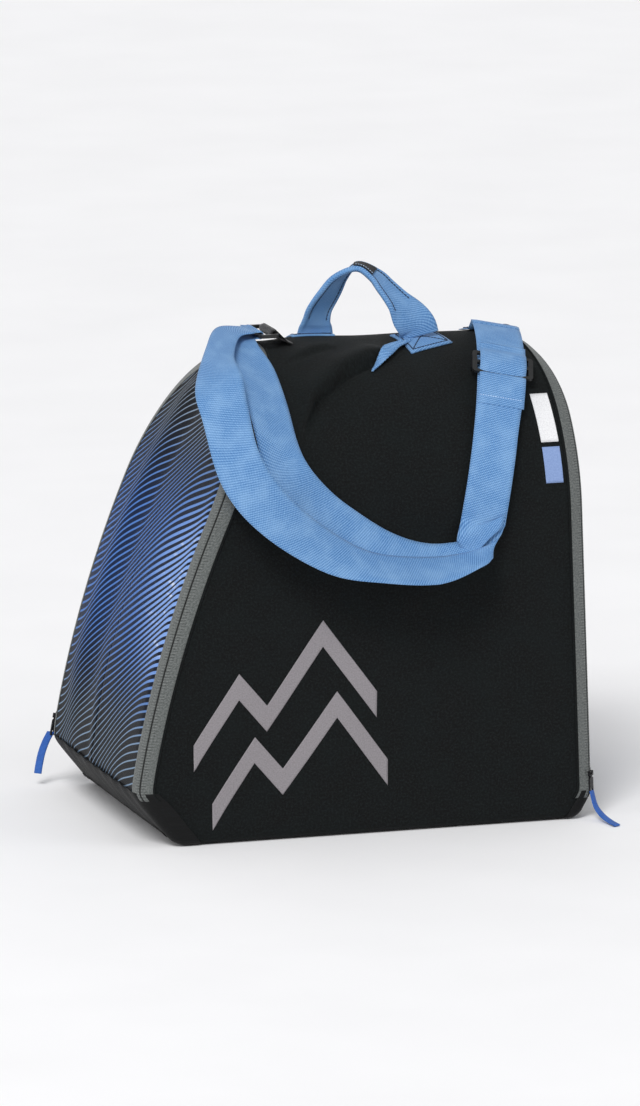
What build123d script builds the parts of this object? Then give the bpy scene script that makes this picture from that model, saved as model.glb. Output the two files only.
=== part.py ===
from build123d import *
import os
from math import atan2, cos, degrees, radians, sin, sqrt

os.makedirs("parts", exist_ok=True)

# A soft bag for a pair of ski boots. The boots lie side by side, toes towards -X.
# +Z is up, -Y is the front, and the origin is on the floor below the middle of the bag.

# Driving dimensions, mm
half_depth = 127.0                       # half the depth, and the radius of the rounded top
crest_z = 390.0
toe_low = Vector(-200.0, 44.0)           # lowest and highest point of the sloping toe end, X and Z
toe_high = Vector(-97.0, 345.0)
toe_radius = 1000.0
heel_low = Vector(196.0, 22.0)
heel_high = Vector(184.0, 340.0)
floor_left = -163.0
floor_right = 181.0
bevel = 12.0                             # each leg of the bevelled corner that carries a zip
skin = 2.0                               # padded fabric
tape = 1.2                               # zip tape
coil_height = 1.2
coil_width = 1.8
zip_gap = 0.9                            # half the slot between the two tapes, for the slider's post
play = 0.4                               # clearance between parts that move
binding_width = 6.0
binding_thickness = 1.5
board_thickness = 3.0
divider_thickness = 3.0
seam_width = 16.0
toe_hinge_z = 78.0                       # each flap folds outwards about this height
heel_hinge_z = 52.0
stop_length = 3.0
webbing = 40.0
webbing_thickness = 1.4
reach = 400.0                            # half the length of every cutting prism
below = -60.0
above = 430.0

dome_z = crest_z - half_depth
chord = toe_high - toe_low
chord_way = chord.normalized()
chord_half = chord.length / 2
chord_rise = sqrt(toe_radius**2 - chord_half**2)
toe_axis = toe_low + chord_way * chord_half + Vector(chord_way.Y, -chord_way.X) * chord_rise
heel_way = (heel_high - heel_low).normalized()
heel_normal = Vector(heel_way.Y, -heel_way.X)


def toe_x(z, inset=0.0):
    """X of the toe end's surface at height z, moved into the bag by inset."""
    return toe_axis.X - sqrt((toe_radius - inset) ** 2 - (z - toe_axis.Y) ** 2)


def heel_x(z, inset=0.0):
    """X of the heel end's surface at height z, moved into the bag by inset."""
    start = heel_low - heel_normal * inset
    return start.X + heel_way.X * (z - start.Y) / heel_way.Y


def end_to_end(inset):
    """The outline in X and Z between the two ends, each moved in by inset."""
    with BuildSketch(Plane.XZ) as outline:
        with BuildLine():
            ThreePointArc(
                (toe_x(below, inset), below),
                (toe_x(dome_z, inset), dome_z),
                (toe_x(above, inset), above),
            )
            Polyline(
                (toe_x(above, inset), above),
                (heel_x(above, inset), above),
                (heel_x(below, inset), below),
                (toe_x(below, inset), below),
            )
        make_face()
    return outline.sketch


def round_top(inset):
    """The outline in Y and Z of the front, the rounded top and the back, moved in by inset."""
    radius = half_depth - inset
    with BuildSketch(Plane.YZ) as outline:
        with BuildLine():
            Polyline((-radius, dome_z), (-radius, below), (radius, below), (radius, dome_z))
            ThreePointArc((-radius, dome_z), (0, dome_z + radius), (radius, dome_z))
        make_face()
    return outline.sketch


def over_base(inset):
    """The outline in X and Z above the floor and above both slanting base edges."""
    toe_run = (floor_left - toe_low.X) / toe_low.Y
    heel_run = (heel_low.X - floor_right) / heel_low.Y
    with BuildSketch(Plane.XZ) as outline:
        Polygon(
            (floor_left, 0),
            (floor_right, 0),
            (floor_right + heel_run * above, above),
            (floor_left - toe_run * above, above),
            align=None,
        )
        if inset > 0:
            offset(amount=-inset, kind=Kind.INTERSECTION)
    return outline.sketch


def bag_block(inset):
    """The solid inside the bag's surface moved in by inset, with its bevelled corners."""
    with BuildPart() as block:
        extrude(end_to_end(inset), amount=reach, both=True)
        extrude(round_top(inset), amount=reach, both=True, mode=Mode.INTERSECT)
        ends = block.faces().sort_by(Axis.X)
        rims = [
            edge
            for end in (ends[0], ends[-1])
            for edge in end.edges()
            if edge.center().Z > below + 1
        ]
        chamfer(rims, length=bevel - (2 - sqrt(2)) * inset)
    return block.part


surface = bag_block(0)
tape_back = bag_block(tape)
lining = bag_block(skin)
binding_back = bag_block(skin + binding_thickness)
coil_top = bag_block(-coil_height)


def keep_depth(a_from=None, a_to=None, b_from=None, b_to=None):
    """In a part block, keeps what is between two depths under the ends (a) and the round top (b)."""
    if a_from is not None:
        extrude(end_to_end(a_from), amount=reach, both=True, mode=Mode.INTERSECT)
    if a_to is not None:
        extrude(end_to_end(a_to), amount=reach, both=True, mode=Mode.SUBTRACT)
    if b_from is not None:
        extrude(round_top(b_from), amount=reach, both=True, mode=Mode.INTERSECT)
    if b_to is not None:
        extrude(round_top(b_to), amount=reach, both=True, mode=Mode.SUBTRACT)


def keep_above_base():
    extrude(over_base(skin), amount=reach, both=True, mode=Mode.INTERSECT)


def keep_end(side):
    """Keeps the toe half, side -1, or the heel half, side +1."""
    with BuildSketch(Plane.YZ) as half:
        Rectangle(2 * reach, 3 * reach)
    extrude(half.sketch, amount=side * reach, mode=Mode.INTERSECT)


def keep_heights(z_from, z_to):
    with BuildSketch(Plane.XY.offset(z_from)) as slab:
        Rectangle(2 * reach, 2 * reach)
    extrude(slab.sketch, amount=z_to - z_from, mode=Mode.INTERSECT)


def save(block, name):
    block.part.label = name
    export_step(block.part, f"parts/{name}.step")


# Front and back: one sheet each from the base to the seam along the crest
for name, keep in (("front_panel", Keep.TOP), ("back_panel", Keep.BOTTOM)):
    with BuildPart() as panel:
        add(surface)
        add(lining, mode=Mode.SUBTRACT)
        keep_depth(a_from=bevel)
        keep_above_base()
        split(bisect_by=Plane.XZ, keep=keep)
    save(panel, name)

# Base: the floor with its slanting band at both ends, and the board that stiffens it
with BuildPart() as base_panel:
    add(surface)
    extrude(over_base(0), amount=reach, both=True, mode=Mode.INTERSECT)
    extrude(over_base(skin), amount=reach, both=True, mode=Mode.SUBTRACT)
save(base_panel, "base_panel")

board_side = half_depth - bevel
with BuildPart() as base_board:
    with BuildSketch(Plane.XY.offset(skin)):
        with Locations(((floor_left + floor_right) / 2, 0)):
            RectangleRounded(floor_right - floor_left - 6, 2 * board_side, 20)
    extrude(amount=board_thickness)
save(base_board, "base_board")

# Seam tape under the crest, and the padded wall between the two boots
with BuildPart() as crest_seam_tape:
    add(lining)
    add(bag_block(skin + tape), mode=Mode.SUBTRACT)
    keep_depth(a_from=bevel + binding_width)
    with BuildSketch(Plane.XY.offset(dome_z)):
        Rectangle(2 * reach, seam_width)
    extrude(amount=reach, mode=Mode.INTERSECT)
save(crest_seam_tape, "crest_seam_tape")

with BuildPart() as divider:
    add(bag_block(skin + tape))
    keep_depth(a_from=bevel + binding_width)
    with BuildSketch(Plane.XY.offset(skin + board_thickness)):
        Rectangle(2 * reach, divider_thickness)
    extrude(amount=reach, mode=Mode.INTERSECT)
    extrude(over_base(skin + board_thickness), amount=reach, both=True, mode=Mode.INTERSECT)
save(divider, "divider")


# Ends: a flap that unzips, the fixed skirt under it, zips, stops and bindings
hair = 0.05                              # keeps a cut off the bevel's own edges


def fabric_end(name, side, z_from, z_to):
    with BuildPart() as panel:
        add(surface)
        add(lining, mode=Mode.SUBTRACT)
        keep_depth(b_from=bevel + hair)
        keep_above_base()
        keep_end(side)
        keep_heights(z_from, z_to)
    save(panel, name)


def zip_tape(name, side, a_from, a_to, z_from, z_to):
    """One tape of a zip with nothing on it: a band along the bevelled corner."""
    with BuildPart() as band:
        add(surface)
        add(tape_back, mode=Mode.SUBTRACT)
        keep_depth(a_from=a_from, a_to=a_to, b_to=bevel + hair)
        keep_above_base()
        keep_end(side)
        keep_heights(z_from, z_to)
    save(band, name)


def zip_coil(name, side, a_from, a_to, z_from, z_to):
    """The row of teeth that stands on a tape's inner edge."""
    with BuildPart() as row:
        add(coil_top)
        add(surface, mode=Mode.SUBTRACT)
        keep_depth(a_from=a_from, a_to=a_to, b_to=bevel)
        keep_end(side)
        keep_heights(z_from, z_to)
    save(row, name)


middle = bevel / 2
outer_edge = middle + zip_gap
inner_edge = middle - zip_gap

for end_name, side, base_z, hinge_z in (
    ("left", -1, toe_low.Y, toe_hinge_z),
    ("right", 1, heel_low.Y, heel_hinge_z),
):
    flap_z = hinge_z + play
    skirt_z = hinge_z - play
    coil_z = base_z + stop_length + 2 + play
    fabric_end(f"{end_name}_side_panel", side, flap_z, above)
    fabric_end(f"{end_name}_side_skirt", side, below, skirt_z)
    zip_tape(f"{end_name}_zip_tape_outer", side, outer_edge, bevel - hair, base_z, above)
    zip_tape(f"{end_name}_zip_tape_inner", side, 0, inner_edge, flap_z, above)
    zip_tape(f"{end_name}_zip_tape_ends", side, 0, inner_edge, base_z, skirt_z)
    zip_coil(f"{end_name}_zip_coil_outer", side, outer_edge, outer_edge + coil_width, coil_z, above)
    zip_coil(f"{end_name}_zip_coil_inner", side, inner_edge - coil_width, inner_edge, flap_z, above)
    zip_coil(f"{end_name}_zip_coil_ends", side, inner_edge - coil_width, inner_edge, coil_z, skirt_z)
    with BuildPart() as seam_binding:
        add(lining)
        add(binding_back, mode=Mode.SUBTRACT)
        keep_depth(a_from=bevel, a_to=bevel + binding_width)
        extrude(over_base(skin + board_thickness), amount=reach, both=True, mode=Mode.INTERSECT)
        keep_end(side)
    save(seam_binding, f"{end_name}_seam_binding")
    with BuildPart() as flap_binding:
        add(lining)
        add(binding_back, mode=Mode.SUBTRACT)
        keep_depth(a_to=bevel, b_from=bevel, b_to=bevel + binding_width)
        keep_end(side)
        keep_heights(flap_z, above)
    save(flap_binding, f"{end_name}_flap_binding")

# Strips of webbing and ribbon: ruled through upright rectangles at hand-set stations


def strip(stations, width, thickness, bunched=()):
    """A band through (centre, direction across it) stations, inside a part block.

    The first stations may be bunched to widths of their own.
    """
    sections = []
    last = len(stations) - 1
    for i, (centre, across) in enumerate(stations):
        along = stations[min(i + 1, last)][0] - stations[max(i - 1, 0)][0]
        across = across.normalized()
        along = (along - across * along.dot(across)).normalized()
        with BuildSketch(Plane(origin=centre, x_dir=across, z_dir=along)) as section:
            Rectangle(bunched[i] if i < len(bunched) else width, thickness)
        sections.append(section.sketch)
    loft(sections, ruled=True)


# Sliders, pull tabs and ribbons, drawn on the bevel where each slider parks:
# local X runs across the zip towards the end, local Y up the zip, local Z outwards
slider_length = 14.0
slider_width = 9.0
plate = 1.4
plate_low = -(tape + play)
plate_high = coil_height + play
post_half = 0.55
post_length = 4.0
pin_radius = 0.7
pin_y = 2.0
pin_z = 5.2
arm_x = 2.2
arm_width = 1.2
barrel_radius = 1.7
barrel_width = 2.4
tab_width = 6.0
tab_start = 3.4
tab_length = 14.0
tab_thickness = 1.4
ribbon_width = 7.0
ribbon_thickness = 1.2


def bevel_plane(side, z, front):
    """The plane on the middle of a bevel at height z: its Y axis climbs along the zip."""
    if side < 0:
        x = toe_x(z, middle)
        out = (Vector(x, z) - toe_axis).normalized()
    else:
        x = heel_x(z, middle)
        out = heel_normal
    outwards = (Vector(out.X, 0, out.Y) + Vector(0, -front, 0)).normalized()
    up = Vector(-side * out.Y, 0, side * out.X)
    origin = Vector(x, -front * (half_depth - middle), z)
    return Plane(origin=origin, x_dir=up.cross(outwards), z_dir=outwards)


def across_plane(plane, x, y, z):
    """A plane through a local point, facing down the zip, with its Y axis outwards."""
    return Plane(
        origin=plane.from_local_coords(Vector(x, y, z)), x_dir=plane.x_dir, z_dir=-plane.y_dir
    )


def along_plane(plane, x, y, z):
    """A plane through a local point, facing across the zip, with its X axis up the zip."""
    return Plane(
        origin=plane.from_local_coords(Vector(x, y, z)), x_dir=plane.y_dir, z_dir=plane.x_dir
    )


for end_name, side, base_z, front in (
    ("left", -1, toe_low.Y, -1),
    ("right", 1, heel_low.Y, 1),
):
    stop_top = base_z + stop_length + 2
    with BuildPart() as zip_stops:
        for way in (-1, 1):
            with BuildSketch(bevel_plane(side, stop_top - stop_length / 2 - 0.5, way)):
                Rectangle(6, stop_length - 1)
            extrude(amount=plate_high)
    save(zip_stops, f"{end_name}_zip_stops")

    slider_z = stop_top + 1.5 + slider_length / 2
    parked = bevel_plane(side, slider_z, front)
    slant = -side * front                # the slot leans this way through the zip's thickness
    with BuildPart() as slider_foot:
        with BuildSketch(parked.offset(plate_low - plate)):
            RectangleRounded(slider_width, slider_length, 2.5)
        extrude(amount=plate)
        with BuildSketch(across_plane(parked, 0, slider_length / 2 - 2, 0)):
            Polygon(
                (slant * plate_low - post_half, plate_low),
                (slant * plate_low + post_half, plate_low),
                (slant * plate_high + post_half, plate_high),
                (slant * plate_high - post_half, plate_high),
                align=None,
            )
        extrude(amount=post_length)
    save(slider_foot, f"{end_name}_slider_foot")

    with BuildPart() as slider:
        with BuildSketch(parked.offset(plate_high)):
            RectangleRounded(slider_width, slider_length, 2.5)
        extrude(amount=plate)
        for x in (-arm_x, arm_x):
            with BuildSketch(parked.offset(plate_high + plate)):
                with Locations((x, pin_y)):
                    Rectangle(arm_width, 4)
            extrude(amount=pin_z + pin_radius + 0.3 - plate_high - plate)
        with BuildSketch(along_plane(parked, 0, pin_y, pin_z)):
            Circle(pin_radius)
        extrude(amount=arm_x, both=True)
    save(slider, f"{end_name}_slider")

    with BuildPart() as pull_tab:
        with BuildSketch(along_plane(parked, 0, pin_y, pin_z)):
            Circle(barrel_radius)
            with Locations((-barrel_radius, 0)):
                Rectangle(2 * barrel_radius, tab_thickness)
        extrude(amount=barrel_width / 2, both=True)
        with BuildSketch(parked.offset(pin_z - tab_thickness / 2)):
            with Locations((0, pin_y - tab_start - tab_length / 2)):
                RectangleRounded(tab_width, tab_length, 1.5)
            with Locations((0, pin_y - tab_start - tab_length + 3)):
                Rectangle(tab_width - 2.4, 3, mode=Mode.SUBTRACT)
        extrude(amount=tab_thickness)
        with BuildSketch(along_plane(parked, 0, pin_y, pin_z)):
            Circle(pin_radius + play / 2)
        extrude(amount=barrel_width, both=True, mode=Mode.SUBTRACT)
    save(pull_tab, f"{end_name}_pull_tab")

    start = parked.from_local_coords(Vector(0, pin_y - tab_start - tab_length - 0.4, pin_z))
    flat_out = Vector(parked.z_dir.X, parked.z_dir.Y, 0).normalized()
    sideways = Vector(parked.x_dir.X, parked.x_dir.Y, 0).normalized()
    if side < 0:
        stations = [
            (start, sideways),
            (start + flat_out * 0.5 - parked.y_dir * 12, sideways),
            (start + flat_out * 0.8 - parked.y_dir * 24, sideways),
            (start + flat_out * 0.5 - parked.y_dir * 36, sideways),
        ]
    else:
        stations = [
            (start, sideways),
            (start + Vector(1, -5, -9), sideways),
            (start + Vector(4, -14, 5 - start.Z), sideways + Vector(0.4, 0, 0)),
            (start + Vector(7, -25, 1.8 - start.Z), sideways + Vector(0.6, 0, 0)),
            (start + Vector(9, -38, 0.7 - start.Z), sideways + Vector(0.8, 0, 0)),
        ]
    with BuildPart() as pull_ribbon:
        strip(stations, ribbon_width, ribbon_thickness)
    save(pull_ribbon, f"{end_name}_pull_ribbon")

# Shoulder strap: two layers of webbing from a ring at the toe end, round a fold at the front,
# and up to the crest at the heel end. Round the top both layers turn about one tilted axis.
strap_slant = radians(15.0)
strap_middle = radians(45.0)             # how far round the top the strap's middle point is
strap_middle_x = 124.0
strap_radius = half_depth / cos(strap_slant) ** 2
strap_clear = 5.2                        # from the bag to the first layer
layer_gap = 0.8
arc_start = -0.74                        # turns about the tilted axis, radians
arc_end = 0.74
glide_turn = -0.165
straight_run = 29.0

top_out = Vector(0, -sin(strap_middle), cos(strap_middle))
top_way = Vector(
    -sin(strap_slant),
    -cos(strap_slant) * cos(strap_middle),
    -cos(strap_slant) * sin(strap_middle),
)
top_axis = top_way.cross(top_out)
top_point = Vector(strap_middle_x, 0, dome_z) + top_out * half_depth
top_centre = top_point - top_out * strap_radius
layer_step = webbing_thickness + layer_gap


def strap_plane(turn):
    """Square to the strap after a turn down from its middle: local X across it, Y out of the bag."""
    out = top_out * cos(turn) + top_way * sin(turn)
    way = top_way * cos(turn) - top_out * sin(turn)
    return Plane(origin=top_centre + out * strap_radius, x_dir=-top_axis, z_dir=way)


def strap_arc(turn_from, turn_to, height):
    """Webbing round the top, its underside at this height over the bag, inside a part block."""
    with BuildSketch(strap_plane(turn_from)) as section:
        with Locations((0, height + webbing_thickness / 2)):
            Rectangle(webbing, webbing_thickness)
    turning = Axis(top_centre, -top_axis)
    revolve(section.sketch, axis=turning, revolution_arc=degrees(turn_to - turn_from))


def strap_straight(height):
    """The run straight down from the end of the arc, inside a part block."""
    with BuildSketch(strap_plane(arc_end)) as section:
        with Locations((0, height + webbing_thickness / 2)):
            Rectangle(webbing, webbing_thickness)
    extrude(section.sketch, amount=straight_run)


patch_height = 1.8
raised = bag_block(-patch_height)


def sewn_patch(outline):
    """Webbing sewn flat on the rounded top inside this outline in X and Y, inside a part block."""
    add(raised)
    add(surface, mode=Mode.SUBTRACT)
    with BuildSketch(Plane.XY.offset(dome_z)) as plan:
        Polygon(*outline, align=None)
    extrude(plan.sketch, amount=reach, mode=Mode.INTERSECT)


with BuildPart() as strap_anchor_patch:
    sewn_patch([(128.5, 4.5), (166, -2.6), (167, 27), (131, 34)])
save(strap_anchor_patch, "strap_anchor_patch")

with BuildPart() as strap_through_layer:
    strap_arc(arc_start, arc_end, strap_clear)
    strap_straight(strap_clear)
save(strap_through_layer, "strap_through_layer")

with BuildPart() as strap_sewn_layer:
    strap_arc(glide_turn, arc_end, strap_clear + layer_step)
    strap_straight(strap_clear + layer_step)
save(strap_sewn_layer, "strap_sewn_layer")

# Three-bar slide buckle on the strap, and the sewn end that loops round its middle bar
glide_length = 24.0
glide_bar = 3.0
glide_thickness = 2.4
glide_rail = 4.0
glide_low = strap_clear + 2 * layer_step - layer_gap + 0.5
lip_length = 10.0
lip_low = 3.4
lip_thickness = 1.1
lip_width = 3.0
rail_inside = webbing / 2 + 1.6
glide_frame = strap_plane(glide_turn)
glide_face = Plane(
    origin=glide_frame.origin, x_dir=glide_frame.x_dir, z_dir=glide_frame.y_dir
)

with BuildPart() as tri_glide:
    with BuildSketch(glide_face.offset(glide_low)):
        RectangleRounded(2 * (rail_inside + glide_rail), glide_length, 3)
        slot = (glide_length - 3 * glide_bar) / 2
        with GridLocations(0, slot + glide_bar, 1, 2):
            Rectangle(2 * rail_inside, slot, mode=Mode.SUBTRACT)
    extrude(amount=glide_thickness)
    for way in (-1, 1):
        with BuildSketch(glide_face.offset(lip_low)):
            with Locations((way * (rail_inside + glide_rail / 2), 0)):
                Rectangle(glide_rail, lip_length)
        extrude(amount=glide_low - lip_low)
        with BuildSketch(glide_face.offset(lip_low)):
            with Locations((way * (rail_inside - lip_width / 2), 0)):
                Rectangle(lip_width, lip_length)
        extrude(amount=lip_thickness)
save(tri_glide, "tri_glide")


def on_glide(along, height):
    """A point on the buckle's middle line: along is down the strap, height is out of the bag."""
    return glide_frame.origin + glide_frame.z_dir * along + glide_frame.y_dir * height


loop_thickness = 1.2
loop_top = glide_low + glide_thickness + loop_thickness / 2
loop_run = 20.0
loop_end = 32.0
with BuildPart() as strap_sewn_loop:
    strip(
        [
            (on_glide(-glide_bar / 2, loop_top), -top_axis),
            (on_glide(glide_length / 2 + 1.5, loop_top), -top_axis),
            (on_glide(loop_run, glide_low + loop_thickness - loop_run**2 / strap_radius / 2), -top_axis),
            (on_glide(loop_end, glide_low + loop_thickness - loop_end**2 / strap_radius / 2), -top_axis),
        ],
        webbing - 2,
        loop_thickness,
    )
save(strap_sewn_loop, "strap_sewn_loop")

# Ring at the toe end of the crest, its keeper, and the strap's loop round its outer bar
ring_z = 400.0
ring_bar = 3.0
ring_keeper_x = -46.0
ring_strap_x = -59.0
ring_length = 50.0
sleeve_inside = 2.6
sleeve_outside = sleeve_inside + 1.2
keeper_width = 25.0
keeper_end_x = -28.0
with BuildPart() as strap_ring:
    with BuildSketch(Plane.XY.offset(ring_z - ring_bar / 2)):
        with Locations(((ring_keeper_x + ring_strap_x) / 2, 0)):
            ring_width = ring_keeper_x - ring_strap_x + ring_bar
            RectangleRounded(ring_width, ring_length, 3)
            Rectangle(ring_width - 2 * ring_bar, ring_length - 2 * ring_bar, mode=Mode.SUBTRACT)
    extrude(amount=ring_bar)
save(strap_ring, "strap_ring")

with BuildPart() as strap_ring_loop:
    with BuildSketch(Plane.XZ):
        with Locations((ring_strap_x, ring_z)):
            Circle(sleeve_outside)
            Circle(sleeve_inside, mode=Mode.SUBTRACT)
    extrude(amount=webbing / 2, both=True)
save(strap_ring_loop, "strap_ring_loop")

with BuildPart() as ring_keeper:
    with BuildSketch(Plane.XZ):
        Polygon(
            (ring_keeper_x - 0.5, ring_z - sleeve_outside + 0.05),
            (ring_keeper_x + 9, crest_z + 0.1),
            (keeper_end_x, crest_z + 0.1),
            (keeper_end_x, crest_z + 2.5),
            (ring_keeper_x + 10.5, crest_z + 2.5),
            (ring_keeper_x + 2.2, ring_z - sleeve_inside),
            align=None,
        )
        with Locations((ring_keeper_x, ring_z)):
            Circle(sleeve_outside)
            Circle(sleeve_inside, mode=Mode.SUBTRACT)
    extrude(amount=keeper_width / 2, both=True)
save(ring_keeper, "ring_keeper")

# Toe half of the strap: stations from the ring, where the webbing bunches, to the fold, as
# centre and direction across
outer_stations = [
    ((-64, -7, 402.6), (0, -1, 0)),
    ((-84, -6, 402), (8, -36, -2)),
    ((-102, -45, 393), (12, -36, -1)),
    ((-117, -90, 378), (32, -6, 10)),
    ((-119, -115, 358), (38, 0, 12)),
    ((-108, -137, 311), (34, 2, 25)),
    ((-80, -146, 275), (27, 14, 19)),
    ((-36, -152, 241), (18, 22, 22)),
    ((10, -156, 227), (8, 28, 20)),
    ((55, -156, 222), (5, 30, 17)),
]
inner_stations = [
    ((-64, -7, 397.4), (0, -1, 0)),
    ((-79, -17, 396), (20, -33, -3)),
    ((-82, -50, 386), (31, -21, -8)),
    ((-82, -86, 366), (36, -8, -15)),
    ((-80, -116, 338), (36, -3, -15)),
    ((-73, -133, 297), (33, 2, 20)),
    ((-53, -133, 273), (27, 3, 29)),
    ((-31, -134, 255), (20, 5, 33)),
    ((20, -135, 228), (10, 8, 37)),
    ((55, -136, 218), (4, 7, 37)),
]
for name, stations in (
    ("strap_outer_band", outer_stations),
    ("strap_inner_band", inner_stations),
):
    with BuildPart() as band:
        strip([(Vector(c), Vector(a)) for c, a in stations], webbing, webbing_thickness, (26, 34))
    save(band, name)

with BuildPart() as strap_fold:
    with BuildSketch(Plane.XZ.offset(half_depth + 5.5)):
        Polygon((76, 231.5), (116, 231.5), (108, 229), (58, 206), (58, 229), align=None)
    extrude(amount=6)
save(strap_fold, "strap_fold")

# Grab handle: sewn patches across the crest, and a folded webbing arch between them
handle_near = Vector(80, -15, 0)
handle_far = Vector(-4, 20, 0)
handle_line = (handle_far - handle_near).normalized()
handle_fold_z = 396.0
handle_gap = 1.6
handle_thickness = 3.0
leg_width = 34.0

for name, foot, outline in (
    ("handle_near_patch", handle_near, [(61, 0), (93, 10), (103, -28), (63, -44)]),
    ("handle_far_patch", handle_far, [(-26, 8), (12, 0), (20, 38), (-20, 46)]),
):
    with BuildPart() as patch:
        sewn_patch(outline)
        with BuildSketch(Plane(origin=(foot.X, foot.Y, crest_z), x_dir=handle_line, z_dir=(0, 0, 1))):
            Rectangle(leg_width, handle_thickness)
        extrude(amount=handle_fold_z - handle_gap - crest_z)
    save(patch, name)

handle_bearing = degrees(atan2(-handle_line.Y, -handle_line.X))


def leg(centre, turn, width):
    """A handle station: its centre, how far the webbing has turned from the fold line, its width."""
    angle = radians(handle_bearing + turn)
    return Vector(*centre), Vector(cos(angle), sin(angle), 0), width


handle_stations = [
    leg((handle_near.X, handle_near.Y, handle_fold_z + handle_gap), 0, 34),
    leg((75, -13, 410), 25, 32),
    leg((66, -9, 428), 58, 28),
    leg((53, -4, 444), 84, 24),
    leg((36, 3, 451), 90, 24),
    leg((19, 10, 443), 96, 24),
    leg((6, 16, 427), 122, 28),
    leg((-1, 19, 410), 155, 32),
    leg((handle_far.X, handle_far.Y, handle_fold_z + handle_gap), 180, 34),
]
with BuildPart() as handle_webbing:
    sections = []
    last = len(handle_stations) - 1
    for i, (centre, across, width) in enumerate(handle_stations):
        along = handle_stations[min(i + 1, last)][0] - handle_stations[max(i - 1, 0)][0]
        if i in (0, last):
            along = Vector(0, 0, 1 if i == 0 else -1)
        along = (along - across * along.dot(across)).normalized()
        with BuildSketch(Plane(origin=centre, x_dir=across, z_dir=along)) as section:
            Rectangle(width, handle_thickness)
        sections.append(section.sketch)
    loft(sections, ruled=True)
save(handle_webbing, "handle_webbing")

# Woven label round the top of the handle, and the tail of spare webbing under its near patch
label_length = 16.0
label_thickness = 0.8
label_centre, label_across, label_width = handle_stations[4]
label_along = (handle_stations[5][0] - handle_stations[3][0]).normalized()
label_plane = Plane(origin=label_centre, x_dir=label_across, z_dir=label_along.cross(label_across))
with BuildPart() as handle_label:
    top = handle_thickness / 2 + 0.9
    with BuildSketch(label_plane.offset(-top if label_plane.z_dir.Z < 0 else top)):
        Rectangle(label_width - 4, label_length)
    extrude(amount=label_thickness if label_plane.z_dir.Z > 0 else -label_thickness)
save(handle_label, "handle_label")

tail_stations = [
    (Vector(54, -13, 392.2), Vector(0.8, -0.4, 0)),
    (Vector(45, -30, 389.4), Vector(0.85, -0.4, 0)),
    (Vector(32, -47, 384.2), Vector(0.85, -0.4, 0)),
    (Vector(20, -62, 377.2), Vector(0.85, -0.4, 0)),
]
with BuildPart() as webbing_tail:
    strip(tail_stations, 9, 1.4)
save(webbing_tail, "webbing_tail")
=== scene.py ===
from math import cos, pi, radians, sin

import bmesh
import bpy
import numpy as np
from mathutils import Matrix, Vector


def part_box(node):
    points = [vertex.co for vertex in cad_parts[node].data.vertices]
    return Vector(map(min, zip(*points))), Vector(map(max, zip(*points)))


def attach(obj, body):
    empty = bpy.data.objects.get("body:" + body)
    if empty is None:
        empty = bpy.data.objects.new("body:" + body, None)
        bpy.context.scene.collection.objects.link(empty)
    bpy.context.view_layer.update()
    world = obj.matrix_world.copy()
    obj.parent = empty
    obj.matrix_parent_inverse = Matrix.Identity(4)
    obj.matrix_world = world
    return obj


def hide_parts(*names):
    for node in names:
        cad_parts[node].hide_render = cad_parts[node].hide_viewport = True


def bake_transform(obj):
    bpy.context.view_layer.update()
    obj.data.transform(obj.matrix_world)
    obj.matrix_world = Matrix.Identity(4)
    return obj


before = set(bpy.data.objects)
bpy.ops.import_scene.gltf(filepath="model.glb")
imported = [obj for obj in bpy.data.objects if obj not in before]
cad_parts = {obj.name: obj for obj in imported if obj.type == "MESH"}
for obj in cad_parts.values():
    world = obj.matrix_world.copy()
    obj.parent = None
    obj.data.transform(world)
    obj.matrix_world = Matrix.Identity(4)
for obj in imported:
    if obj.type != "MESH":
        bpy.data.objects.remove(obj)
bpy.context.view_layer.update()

# A soft ski boot bag. Metres, +Z up, -Y the front, toe end towards -X, heel end towards +X.
# The surfaces are rows of points worked out from the driving sizes of the CAD model.

half_depth = 0.127
crest_z = 0.390
dome_z = crest_z - half_depth
floor_left, floor_right = -0.163, 0.181
toe_low_x, toe_low_z = -0.200, 0.044
heel_low_x, heel_low_z = 0.196, 0.022
heel_high_x, heel_high_z = 0.184, 0.340
toe_axis_x, toe_axis_z, toe_radius = 0.785592, -0.125139, 1.0
bottom_radius = 0.008
webbing = 0.040
webbing_thickness = 0.0014
skin = 0.0018
TOE, HEEL = -1, 1
END_NAME = {TOE: "left", HEEL: "right"}
BAND_TOP = {TOE: toe_low_z, HEEL: heel_low_z}


# ---------------------------------------------------------------- node materials

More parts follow.
